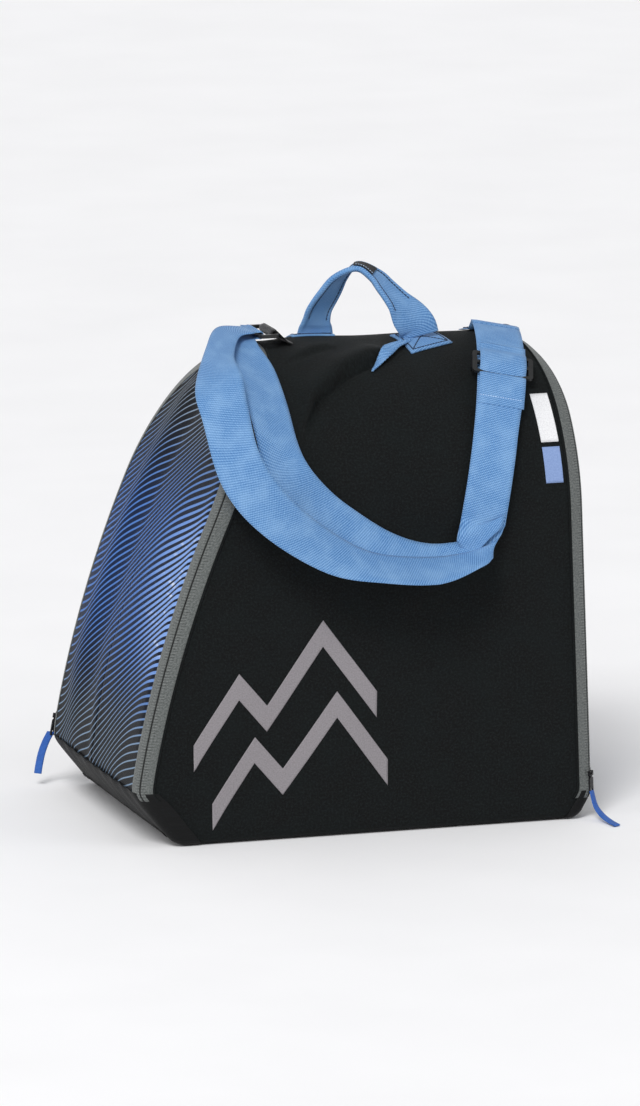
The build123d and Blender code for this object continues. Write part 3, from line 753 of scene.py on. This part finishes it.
def tape_sections(way):
    """One tape of the zip, from its hem at the slot, over the coil, to its sewn edge."""
    outline = [
        (0.00012, 0.0002), (0.00022, 0.0010), (0.0008, 0.00140), (0.0021, 0.00145), (0.0031, 0.0010),
        (0.0050, 0.00075), (0.0080, 0.00070), (0.0098, 0.00070), (0.0103, 0.0005), (0.0103, 0.0001),
        (0.0060, 0.0001), (0.0030, 0.0001),
    ]
    return [(way * s, lift) for s, lift in outline]


def coil_row(name, side, rows_from, rows_to, way):
    """The coil inside a tape's hem: a corrugated tube, ribbed along the zip."""
    rows = along_edge(rows_from, rows_to, 0.00075)
    ribs = 0.00022 * np.sin(2 * pi * rows / 0.0023)
    sections = []
    for k in range(6):
        turn = 2 * pi * k / 6
        sections.append((way * (0.0015 + 0.00055 * cos(turn)), -0.0004 + (0.00075 + ribs) * sin(turn)))
    return edge_strip(name, side, rows, sections, COIL)


def zip_and_bindings(side):
    name = END_NAME[side]
    low = BAND_TOP[side] - 0.004
    rows = along_edge(low, low)
    outer = edge_strip(f"{name}_zip_tape_on_bag", side, rows, tape_sections(-1), TAPE)
    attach(outer, "bag")
    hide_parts(f"{name}_zip_tape_outer")
    inner = edge_strip(f"{name}_zip_tape_on_flap", side, rows, tape_sections(1), TAPE)
    bend_at_hinge(inner)
    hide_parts(f"{name}_zip_tape_inner", f"{name}_zip_tape_ends")
    outer_coil = coil_row(f"{name}_coil_on_bag", side, low + 0.005, low + 0.005, -1)
    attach(outer_coil, "bag")
    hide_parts(f"{name}_zip_coil_outer")
    inner_coil = coil_row(f"{name}_coil_on_flap", side, low + 0.005, low + 0.005, 1)
    bend_at_hinge(inner_coil)
    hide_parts(f"{name}_zip_coil_inner", f"{name}_zip_coil_ends")

    piping = [(-0.0102, 0.0001), (-0.0102, 0.0009), (-0.0110, 0.0014), (-0.0119, 0.0009), (-0.0119, 0.0001)]
    rolled = edge_strip(f"{name}_seam_roll", side, rows, piping, SHELL)
    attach(rolled, "bag")

    inside = -skin - 0.0001
    binding = [(-0.0110, inside), (-0.0110, inside - 0.0012), (-0.0160, inside - 0.0014), (-0.0165, inside)]
    seam = edge_strip(f"{name}_seam_tape", side, along_edge(0.02, 0.02, 0.005), binding, BINDING)
    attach(seam, "bag")
    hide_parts(f"{name}_seam_binding")
    flap = edge_strip(
        f"{name}_flap_tape", side, along_edge(low, low, 0.005), [(-s, lift) for s, lift in binding], BINDING
    )
    bend_at_hinge(flap)
    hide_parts(f"{name}_flap_binding")


def base_band(side):
    """The black band sewn over the bottom of an end and round both its corners."""
    name = END_NAME[side]
    top = BAND_TOP[side]
    heights = np.linspace(0.001, top + 0.002, 22)
    stand_off = 0.0009
    sections = []
    reach = 0.015 if side == TOE else 0.008
    turn_columns, flat_columns = 26, 60
    across = np.linspace(-reach, 0.012, turn_columns)
    for t in heights:
        turning = edge_place(side, np.full(turn_columns, t), across, stand_off)[0]
        other = edge_place(side, np.full(turn_columns, profile_length - t), across, stand_off)[0][::-1]
        first, last = turning[-1], other[0]
        share = np.linspace(0, 1, flat_columns)[1:-1, None]
        flat = first * (1 - share) + last * share
        swell = 0.0016 * np.sin(pi * share[:, 0]) + 0.0006 * np.sin(17 * pi * share[:, 0] + 40 * t)
        flat[:, 0] = end_x(side, flat[:, 2]) + side * (stand_off + swell * smooth_step(t, 0.0, 0.02))
        row = np.concatenate([turning, flat, other])
        row[:, 2] = np.maximum(row[:, 2], 0.0)
        sections.append(row)
    points = np.stack(sections, 0)
    cloth = np.stack([points[..., 1], points[..., 2]], -1)
    band = add_mesh(f"{name}_base_band", points, grid_faces(*points.shape[:2]), {"cloth": cloth}, [BASE])
    face_towards(band, Vector((side, 0, 0)))
    thicken(band, 0.0008)
    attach(band, "bag")


for end in (TOE, HEEL):
    end_panel(end)
    zip_and_bindings(end)
    base_band(end)


# ---------------------------------------------------------------- inside

def divider():
    """The padded wall between the two boots, quilted in channels. Its edge is closed plainly; the binding
    on it is not made.
    """
    low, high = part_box("divider")
    heights = np.linspace(low.z + 0.001, high.z - 0.002, 60)
    rows = []
    for z in heights:
        left, right = end_x(TOE, np.array(z)) + 0.021, end_x(HEEL, np.array(z)) - 0.021
        rows.append(np.stack([np.linspace(left, right, 90), np.zeros(90), np.full(90, z)], -1))
    centre = np.stack(rows, 0)
    quilt = np.abs(np.sin(centre[..., 2] * pi / 0.040))
    half = 0.0013 + 0.0016 * np.sqrt(quilt)
    front, back = centre.copy(), centre.copy()
    front[..., 1] -= half
    back[..., 1] += half
    count = front.shape[0] * front.shape[1]
    faces = grid_faces(*front.shape[:2])
    faces += [tuple(v + count for v in quad[::-1]) for quad in grid_faces(*back.shape[:2])]
    r, c = front.shape[:2]
    rim = [j for j in range(c)] + [i * c + c - 1 for i in range(1, r)]
    rim += [(r - 1) * c + j for j in range(c - 2, -1, -1)] + [i * c for i in range(r - 2, 0, -1)]
    for a, b in zip(rim, rim[1:] + rim[:1]):
        faces.append((b, a, a + count, b + count))
    points = np.concatenate([front.reshape(-1, 3), back.reshape(-1, 3)])
    wall = add_mesh("divider_wall", points, faces, {"cloth": points[:, [0, 2]]}, [LINING])
    fix_normals(wall)
    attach(wall, "bag")
    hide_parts("divider")


divider()


# ---------------------------------------------------------------- shoulder strap

strap_slant = radians(15)
strap_middle = radians(45)
strap_radius = half_depth / cos(strap_slant) ** 2
top_out = np.array([0, -sin(strap_middle), cos(strap_middle)])
top_way = np.array([
    -sin(strap_slant), -cos(strap_slant) * cos(strap_middle), -cos(strap_slant) * sin(strap_middle),
])
top_axis = np.cross(top_way, top_out)
top_centre = np.array([0.124, 0, dome_z]) + top_out * (half_depth - strap_radius)
strap_clear = 0.0052
layer_step = 0.0022
arc_start, arc_end, glide_turn = -0.74, 0.74, -0.165
half_web = webbing / 2


def round_strap(turn, height):
    """Both edges of the webbing round the top, its middle at this height over the bag."""
    out = top_out * cos(turn) + top_way * sin(turn)
    centre = top_centre + out * (strap_radius + height)
    slack = 0.0035 * smooth_step(turn, glide_turn, 0.3) * smooth_step(1.1 - turn, 0.0, 0.4)
    return np.concatenate([centre + top_axis * half_web, centre - top_axis * (half_web - slack)])


def drop(height, run):
    """Both edges on the straight run below the round part."""
    way = top_way * cos(arc_end) - top_out * sin(arc_end)
    return round_strap(arc_end, height) + np.concatenate([way, way]) * run


def edges(centre, across, width=webbing):
    """Both edges of the webbing at a station in millimetres."""
    centre = np.array(centre) / 1000
    half = unit(np.array(across, float)) * width / 2
    return np.concatenate([centre - half, centre + half])


def mm(*numbers):
    return np.array(numbers) / 1000


through_height = strap_clear + webbing_thickness / 2
sewn_height = through_height + layer_step

outer_band = [
    edges((-64, -4, 402.8), (0, -1, 0), 0.032),
    edges((-84, -9, 402.4), (8, -36, -2), 0.038),
    edges((-102, -45, 393), (12, -36, -1)),
    edges((-117, -90, 378), (32, -6, 10)),
    edges((-119, -115, 356), (38, 0, 12)),
    edges((-112, -139, 311), (34, -2, 25)),
    edges((-84, -152, 273), (27, 9, 19)),
    edges((-40, -157, 242), (16, 22, 21)),
    edges((0, -160, 229), (5, 35, 17)),
    edges((48, -158, 224), (3, 37, 15)),
]
inner_band = [
    edges((-64, -4, 397.2), (0, -1, 0), 0.032),
    edges((-76, -20, 395.5), (22, -33, -3), 0.038),
    edges((-77, -50, 384), (32, -21, -8)),
    edges((-77, -86, 364), (36, -8, -15)),
    edges((-76, -114, 336), (36, -3, -15)),
    edges((-69, -130, 301), (33, 5, 20)),
    edges((-50, -132, 278), (27, 8, 28)),
    edges((-28, -135, 259.5), (20, 11, 31)),
    edges((14, -140, 235), (8, 19, 31)),
    edges((50, -143, 226), (4, 25, 26)),
]
outer_fold = [
    mm(73.5, -133, 240, 114.5, -137, 261),
    mm(80, -136, 229, 112, -139, 252),
    mm(91, -142, 227, 108.5, -141, 246),
    mm(97.5, -152, 231, 102.5, -142, 241.5),
    mm(94, -162, 231, 93.5, -141, 237.5),
    mm(83, -170, 227, 79.6, -140, 233.6),
]
inner_fold = [
    mm(73, -136.4, 244, 113.2, -139.4, 263),
    mm(78, -138.5, 232, 108.5, -142, 252.5),
    mm(80, -143, 224, 100, -140, 246),
    mm(72, -149, 217, 86, -135, 243),
]
outer_controls = [round_strap(turn, through_height) for turn in np.linspace(arc_start, arc_end, 11)]
outer_controls += [drop(through_height, 0.012)] + outer_fold + outer_band[::-1]
inner_controls = [round_strap(turn, sewn_height) for turn in np.linspace(glide_turn + 0.09, arc_end, 8)]
inner_controls += [drop(sewn_height, 0.010)] + inner_fold + inner_band[::-1]


def strap_strip(name, controls, *nodes):
    line = through(controls, 8)
    piece = ribbon(name, line[:, :3], line[:, 3:], webbing_thickness, STRAP, 10)
    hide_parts(*nodes)
    return piece


outer_strap = strap_strip(
    "shoulder_strap_outer", outer_controls, "strap_through_layer", "strap_outer_band", "strap_fold"
)
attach(outer_strap, "strap")
inner_strap = strap_strip("shoulder_strap_inner", inner_controls, "strap_sewn_layer", "strap_inner_band")
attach(inner_strap, "strap")


def strap_anchor():
    """The end of the strap sewn down behind the crest, and its stitched box."""
    stations = []
    for back, height in ((0.030, 0.0012), (0.020, 0.0012), (0.010, 0.0013), (0.002, 0.0026)):
        for_edge = []
        for across in (-half_web, half_web):
            centre_x = 0.1478 + back * 0.03
            t = profile_length / 2 + back - across * 0.19
            for_edge.append(on_bag(centre_x + across * 0.97, t, height)[0])
        stations.append(np.concatenate(for_edge))
    for turn in (arc_start + 0.02, arc_start + 0.07):
        stations.append(round_strap(turn, through_height + 0.0004))
    line = through(stations, 6)
    piece = ribbon("strap_anchor", line[:, :3], line[:, 3:], webbing_thickness, STRAP, 10)
    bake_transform(piece)
    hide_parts("strap_anchor_patch")
    corners = [
        (0.130, 0.008), (0.165, 0.004), (0.166, 0.026), (0.132, 0.029), (0.130, 0.008), (0.166, 0.026),
    ]
    sew_on_bag("strap_anchor_stitches", corners, 0.0023, THREAD_DARK)


def sew_on_bag(name, corners, lift, material):
    """A sewn line on the bag's top through corners given as x and y."""
    path, normals = [], []
    for (x0, y0), (x1, y1) in zip(corners[:-1], corners[1:]):
        for share in np.linspace(0, 1, 12):
            x, y = x0 + (x1 - x0) * share, y0 + (y1 - y0) * share
            place, normal = on_bag(x, outline_length(y), lift)
            path.append(place)
            normals.append(normal)
    piece = stitches(name, path, normals, material, 0.0028, 0.0025, 0.00050)
    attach(piece, "bag")
    return piece


strap_anchor()


def on_glide(along, height, across=0.0):
    """A place by the buckle's middle: along is down the strap, height is out of the bag."""
    out = top_out * cos(glide_turn) + top_way * sin(glide_turn)
    way = top_way * cos(glide_turn) - top_out * sin(glide_turn)
    return top_centre + out * (strap_radius + height) + way * along - top_axis * across


def curve_drop(along):
    """How far the bag's round top falls away at this distance from the buckle's middle."""
    return along * along / strap_radius / 2


def buckle_webbing():
    """The webbing that runs over the buckle's middle bar, and the end sewn round the bar."""
    over = [
        (-0.024, 0.0097), (-0.0165, 0.0104), (-0.0105, 0.0131), (-0.003, 0.0142), (0.004, 0.0138),
        (0.0095, 0.0114), (0.0125, 0.0098),
    ]
    half = half_web - 0.0006
    line = through([np.concatenate([on_glide(a, h, -half), on_glide(a, h, half)]) for a, h in over], 6)
    cover = ribbon("buckle_cover", line[:, :3], line[:, 3:], webbing_thickness, STRAP, 10, 0.0003)
    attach(cover, "strap_buckle")
    sewn = [
        (0.0100, 0.0092), (0.0125, 0.0121), (0.017, 0.0124), (0.024, 0.0116), (0.034, 0.0098),
        (0.040, 0.0089),
    ]
    sewn = [(a, h - curve_drop(a)) for a, h in sewn]
    line = through([np.concatenate([on_glide(a, h, -half), on_glide(a, h, half)]) for a, h in sewn], 6)
    tongue = ribbon("buckle_sewn_end", line[:, :3], line[:, 3:], webbing_thickness, STRAP, 10)
    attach(tongue, "strap_buckle")
    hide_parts("strap_sewn_loop")
    seam_along = 0.0335
    seam_height = 0.0107 - curve_drop(seam_along)
    row = [on_glide(seam_along, seam_height, x) for x in np.linspace(-half + 0.001, half - 0.001, 20)]
    out = top_out * cos(glide_turn) + top_way * sin(glide_turn)
    seam = stitches("buckle_seam", row, out, THREAD_LIGHT, 0.0021, 0.0013, 0.0003)
    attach(seam, "strap_buckle")


buckle_webbing()


def round_sleeve(name, x, z, radius, half_width, turn_from, turn_to, lead, body, node, material=STRAP):
    """Webbing round a bar that runs along Y, from one lead-in place to another."""
    turns = np.linspace(turn_from, turn_to, 12)
    path = [(x + radius * cos(turn), z + radius * sin(turn)) for turn in turns]
    path = lead[:1] + path + lead[1:]
    rows = [np.array([px, half_width, pz, px, -half_width, pz]) for px, pz in path]
    line = through(rows, 3)
    piece = ribbon(name, line[:, :3], line[:, 3:], webbing_thickness - 0.0002, material, 8)
    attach(piece, body)
    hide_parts(node)
    return piece


round_sleeve(
    "ring_strap_loop", -0.059, 0.400, 0.0029, 0.0180, radians(118), radians(-118),
    [(-0.0655, 0.4030), (-0.0655, 0.3970)], "ring", "strap_ring_loop",
)
round_sleeve(
    "ring_keeper_loop", -0.046, 0.400, 0.0031, 0.0175, radians(60), radians(285),
    [(-0.034, 0.3922), (-0.0305, 0.3913)], "bag", "ring_keeper", BINDING,
)


# ---------------------------------------------------------------- grab handle

def leg_station(centre, bearing, width):
    angle = radians(bearing)
    half = np.array([cos(angle), sin(angle), 0]) * width / 2
    return centre, half


handle_line = [
    leg_station(mm(79, -15, 392), -3, 0.034), leg_station(mm(77, -15, 400), 2, 0.033),
    leg_station(mm(69.5, -14, 410), 12, 0.033), leg_station(mm(62, -12, 421), 22, 0.027),
    leg_station(mm(53, -7, 432.5), 32, 0.0235), leg_station(mm(45, -2, 442), 44, 0.0225),
    leg_station(mm(31.5, 4, 449), 64, 0.0230), leg_station(mm(18.5, 9, 440), 38, 0.0235),
    leg_station(mm(10, 13, 426), 20, 0.0240), leg_station(mm(3, 17, 412.5), 8, 0.0235),
    leg_station(mm(1, 19, 403.5), 0, 0.0240), leg_station(mm(0.5, 20, 397), -5, 0.028),
    leg_station(mm(0, 20, 391), -8, 0.030),
]


def handle_piece():
    """The handle: webbing flat at both feet, its edges folded in and sewn down in the middle."""
    controls = [np.concatenate([centre, half]) for centre, half in handle_line]
    line = through(controls, 7)
    centre, half = line[:, :3], line[:, 3:]
    width = 2 * np.linalg.norm(half, axis=1)
    across = unit(half)
    tangent = unit(np.gradient(centre, axis=0))
    across = unit(across - tangent * np.sum(across * tangent, 1, keepdims=True))
    normal = np.cross(across, tangent)
    folded = smooth_step(0.0320 - width, 0.0, 0.006)
    run = lengths_along(centre)
    shares = np.linspace(-1, 1, 17)
    points, cloth = [], []
    for i in range(len(centre)):
        for sign, order in ((1, shares), (-1, shares[::-1])):
            for share in order:
                edge = 1 - abs(share)
                rolled = 0.0008 * np.exp(-((edge - 0.16) / 0.12) ** 2)
                half_thick = 0.0007 + folded[i] * (0.0011 + rolled)
                half_thick *= min(1.0, 0.3 + edge / 0.12)
                bow = 0.0016 * (1 - share**2) * (1 - folded[i])
                trough = 0.0006 * folded[i] * np.exp(-((edge - 0.34) / 0.05) ** 2)
                height = sign * (half_thick - trough) + bow
                points.append(centre[i] + across[i] * share * width[i] / 2 + normal[i] * height)
                cloth.append((share * half_web, run[i]))
    faces = tube_faces(len(centre), 2 * len(shares))
    piece = add_mesh("grab_handle", points, faces, {"cloth": cloth}, [STRAP])
    fix_normals(piece)
    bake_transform(piece)
    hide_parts("handle_webbing")
    sewn = [i for i in range(len(centre)) if folded[i] > 0.35 and centre[i][2] > 0.402]
    for side, tag in ((-1, "a"), (1, "b")):
        for face, face_tag in ((1, "top"), (-1, "under")):
            path = [
                centre[i] + across[i] * side * 0.66 * width[i] / 2 + normal[i] * face * 0.0020
                for i in sewn
            ]
            seam = stitches(
                f"handle_seam_{face_tag}_{tag}", path, normal[sewn] * face, THREAD_DARK,
                0.0030, 0.0027, 0.00050,
            )
            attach(seam, "handle")
    return centre, across, normal, run


handle_centre, handle_across, handle_normal, handle_run = handle_piece()


def label_piece():
    """A small black woven label wrapped over the top of the handle, sewn at both edges."""
    top = int(np.argmax(handle_centre[:, 2])) - 3
    inside = [i for i in range(len(handle_run)) if abs(handle_run[i] - handle_run[top]) < 0.0095]
    up = np.sign(handle_normal[top][2])
    left, right = [
        handle_centre[inside] + handle_across[inside] * edge + handle_normal[inside] * up * 0.0031
        for edge in (-0.0085, 0.0085)
    ]
    fine = through(np.concatenate([left, right], 1), 4)
    piece = ribbon("handle_woven_label", fine[:, :3], fine[:, 3:], 0.0008, LABEL, 6)
    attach(piece, "handle")
    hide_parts("handle_label")
    for name, side in (("near", 0.0072), ("far", -0.0072)):
        rows = handle_centre[inside] + handle_across[inside] * side + handle_normal[inside] * up * 0.0037
        line = stitches(
            f"handle_label_seam_{name}", rows, handle_normal[top] * up, THREAD_LIGHT,
            0.0022, 0.0015, 0.00022,
        )
        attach(line, "handle")


label_piece()


def sewn_foot(name, outline, node, stitch_lines):
    """Webbing sewn flat on the crest: outline is four corners in plan, in millimetres."""
    corners = [mm(*corner) for corner in outline]
    back_left, back_right, front_right, front_left = corners
    count, across_count = 24, 11
    top, cloth = [], []
    for i, share in enumerate(np.linspace(0, 1, count)):
        left = back_left * (1 - share) + front_left * share
        right = back_right * (1 - share) + front_right * share
        for j in range(across_count):
            across = j / (across_count - 1)
            x, y = left * (1 - across) + right * across
            rim = min(i, count - 1 - i, j, across_count - 1 - j)
            top.append(on_bag(x, outline_length(y), 0.0018 if rim else 0.0011)[0])
            cloth.append((across * webbing, i * 0.0019))
    piece = add_mesh(name, top, grid_faces(count, across_count), {"cloth": cloth}, [STRAP])
    face_towards(piece, Vector((0, 0, 1)))
    thicken(piece, 0.0016)
    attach(piece, "bag")
    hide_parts(node)
    centre = sum(corners) / 4
    inset = [centre + (corner - centre) * 0.84 for corner in corners]
    for n, pair in enumerate(stitch_lines):
        path = [tuple(inset[k]) for k in pair]
        sew_on_bag(f"{name}_stitches_{n}", path, 0.0021, THREAD_DARK)


box_with_cross = [(0, 1, 2, 3, 0), (0, 2), (1, 3)]
near_outline = [(59, 2), (95, 10), (104, -28), (63, -44)]
far_outline = [(-18, 46), (-22, 15), (14, 9), (20, 38)]
sewn_foot("handle_near_foot", near_outline, "handle_near_patch", box_with_cross)
sewn_foot("handle_far_foot", far_outline, "handle_far_patch", box_with_cross)


def spare_tail():
    """The gathered tail of spare webbing that hangs from under the near foot."""
    stations = [
        (mm(67, -18), 0.0115, 0.0006), (mm(60, -26), 0.0115, 0.0022), (mm(50, -36), 0.0110, 0.0040),
        (mm(40, -47), 0.0095, 0.0034), (mm(30, -57), 0.0060, 0.0028), (mm(22, -65), 0.0014, 0.0022),
    ]
    rows = []
    for place, width, lift in stations:
        for sign in (-1, 1):
            x, y = place[0] + sign * 0.45 * width, place[1] - sign * 0.20 * width
            rows.append(on_bag(x, outline_length(y), lift + sign * 0.0008)[0])
    controls = [np.concatenate(rows[k:k + 2]) for k in range(0, len(rows), 2)]
    line = through(controls, 16)
    gathers = 0.0005 * np.sin(np.arange(len(line)) * 2 * pi / 4)
    line[:, [2, 5]] += gathers[:, None]
    piece = ribbon("spare_tail", line[:, :3], line[:, 3:], webbing_thickness, STRAP, 6)
    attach(piece, "bag")
    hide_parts("webbing_tail")


spare_tail()


# ---------------------------------------------------------------- zip pulls

def pull_ribbon(side, start, steps, across, body):
    """A folded ribbon through the pull tab, curling at its end."""
    name = END_NAME[side]
    rows = []
    for step, way in zip(steps, across):
        centre = start + mm(*step)
        half = unit(np.array(way)) * 0.0035
        rows.append(np.concatenate([centre - half, centre + half]))
    line = through(rows, 8)
    piece = ribbon(f"{name}_ribbon", line[:, :3], line[:, 3:], 0.0013, RIBBON, 6)
    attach(piece, body)
    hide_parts(f"{name}_pull_ribbon")


left_start = mm(-198.0, 124.7, 43.2)
pull_ribbon(
    TOE, left_start,
    [(-0.5, 0.6, 3), (-4.4, 3.0, -6), (-7.6, 4.5, -16), (-9.8, 4.6, -26), (-11.2, 3.9, -33)],
    [(0.7, -0.7, 0)] * 5, "left_pull",
)
right_start = mm(193.8, -124.7, 19.9)
pull_ribbon(
    HEEL, right_start, [(0, 0, 3), (1.5, -6, -8.5), (4, -14.5, -14.6), (7, -25, -17.8), (9.5, -38, -18.9)],
    [(0.7, 0.7, 0), (0.75, 0.68, 0.04), (0.85, 0.6, 0.08), (0.9, 0.5, 0.05), (0.95, 0.45, 0)], "right_pull",
)


# ---------------------------------------------------------------- prints on the front

def print_shape(name, lower, upper, material):
    """Ink between two lines on the front, whose places are x and length up it in millimetres."""
    low, high = [
        np.concatenate([np.linspace(mm(*a), mm(*b), 24) for a, b in zip(line[:-1], line[1:])])
        for line in (lower, upper)
    ]
    shares = np.linspace(0, 1, 14)[:, None, None]
    places = low * (1 - shares) + high * shares
    points, _ = on_bag(places[..., 0], places[..., 1], 0.00035)
    piece = add_mesh(name, points, grid_faces(*places.shape[:2]), {"cloth": places}, [material])
    merge_doubles(piece)
    face_towards(piece, Vector((0, -1, 0)))
    thicken(piece, 0.0003)
    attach(piece, "bag")


ridge_stroke = 22
ridges = {
    "print_ridge_high": [(-150, 62), (-112, 120), (-88, 92), (-40, 160), (6, 98)],
    "print_ridge_low": [(-134, 12), (-98, 66), (-74, 38), (-28, 100), (16, 40)],
}
for ridge_name, line in ridges.items():
    print_shape(ridge_name, line, [(x, t + ridge_stroke) for x, t in line], PRINT_GREY)
print_shape("print_strip_light", [(152, 318), (167, 318)], [(150, 362), (165, 362)], PRINT_WHITE)
print_shape("print_strip_blue", [(153, 284), (168, 284)], [(152, 314), (167, 314)], PRINT_BLUE)


# ---------------------------------------------------------------- carried-over CAD pieces

carried = {
    METAL: ["left_slider", "right_slider", "left_slider_foot", "right_slider_foot", "left_pull_tab",
            "right_pull_tab", "left_zip_stops", "right_zip_stops"],
    BUCKLE: ["tri_glide", "strap_ring"],
    BOARD: ["base_board"],
}
for material, names in carried.items():
    for name in names:
        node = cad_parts[name]
        for entry in node.material_slots:
            entry.link = "OBJECT"
            entry.material = material


# ---------------------------------------------------------------- floor, light and camera

def sweep():
    """A wide pale floor that curves up into a backdrop far behind the bag."""
    radius, reach, back, cells, wall_cells = 1.5, 15, 13, 60, 6
    bend = np.linspace(0.1, pi / 2, 12)
    depth = np.concatenate([
        np.linspace(-reach, back, cells), back + radius * np.sin(bend), np.full(wall_cells, back + radius),
    ])
    rise = np.concatenate([np.zeros(cells), radius * (1 - np.cos(bend)), np.linspace(2, 8, wall_cells)])
    wide = np.linspace(-reach, reach, cells)
    shape = (len(depth), len(wide))
    points = np.stack([
        np.broadcast_to(wide[None, :], shape), np.broadcast_to(depth[:, None], shape),
        np.broadcast_to(rise[:, None], shape),
    ], -1)
    shader = Shader("studio_paper", roughness=0.9, specular=0.2)
    place = shader.node("ShaderNodeTexCoord").outputs["Object"]
    grain = shader.noise(place, 6.0, 2.0)
    colour = shader.ramp(grain, (0.3, (0.90, 0.895, 0.90)), (0.7, (0.925, 0.92, 0.925)))
    paper = shader.finish(colour)
    lowered = points - np.array([0, 0, 0.0004])
    floor = add_mesh("studio_floor", lowered, grid_faces(*shape), {"cloth": points[..., :2]}, [paper])


sweep()


def soft_light(name, place, aim, size, watts):
    light = bpy.data.lights.new(name, "AREA")
    light.shape = "RECTANGLE"
    light.size, light.size_y = size
    light.energy = watts
    lamp = bpy.data.objects.new(name, light)
    lamp.location = place
    lamp.rotation_euler = (Vector(aim) - Vector(place)).to_track_quat("-Z", "Y").to_euler()
    bpy.context.scene.collection.objects.link(lamp)


soft_light("fill", (2.2, -2.0, 1.2), (0, 0, 0.2), (1.6, 1.6), 9)
soft_light("left", (-2.4, -1.0, 1.0), (0, 0, 0.2), (1.2, 1.2), 10)

sun = bpy.data.lights.new("key", "SUN")
sun.energy = 1.75
sun.angle = radians(22)
key = bpy.data.objects.new("key", sun)
key.rotation_euler = Vector((0.42, 0.62, -0.85)).to_track_quat("-Z", "Y").to_euler()
bpy.context.scene.collection.objects.link(key)

world = bpy.data.worlds.new("studio")
world.use_nodes = True
world.node_tree.nodes["Background"].inputs[0].default_value = (0.97, 0.98, 1.0, 1.0)
world.node_tree.nodes["Background"].inputs[1].default_value = 0.55
bpy.context.scene.world = world

camera_data = bpy.data.cameras.new("camera")
camera_data.lens = 354
camera_data.sensor_width = 36
camera = bpy.data.objects.new("camera", camera_data)
view_azimuth, view_height, view_distance = radians(-17.5), radians(11.5), 9.005
view_target = Vector((-0.002, 0, 0.2108))
towards = Vector((
    sin(view_azimuth) * cos(view_height), -cos(view_azimuth) * cos(view_height), sin(view_height),
))
camera.location = view_target + towards * view_distance
camera.rotation_euler = (-towards).to_track_quat("-Z", "Y").to_euler()
bpy.context.scene.collection.objects.link(camera)
bpy.context.scene.camera = camera

bpy.context.scene.view_settings.view_transform = "Standard"
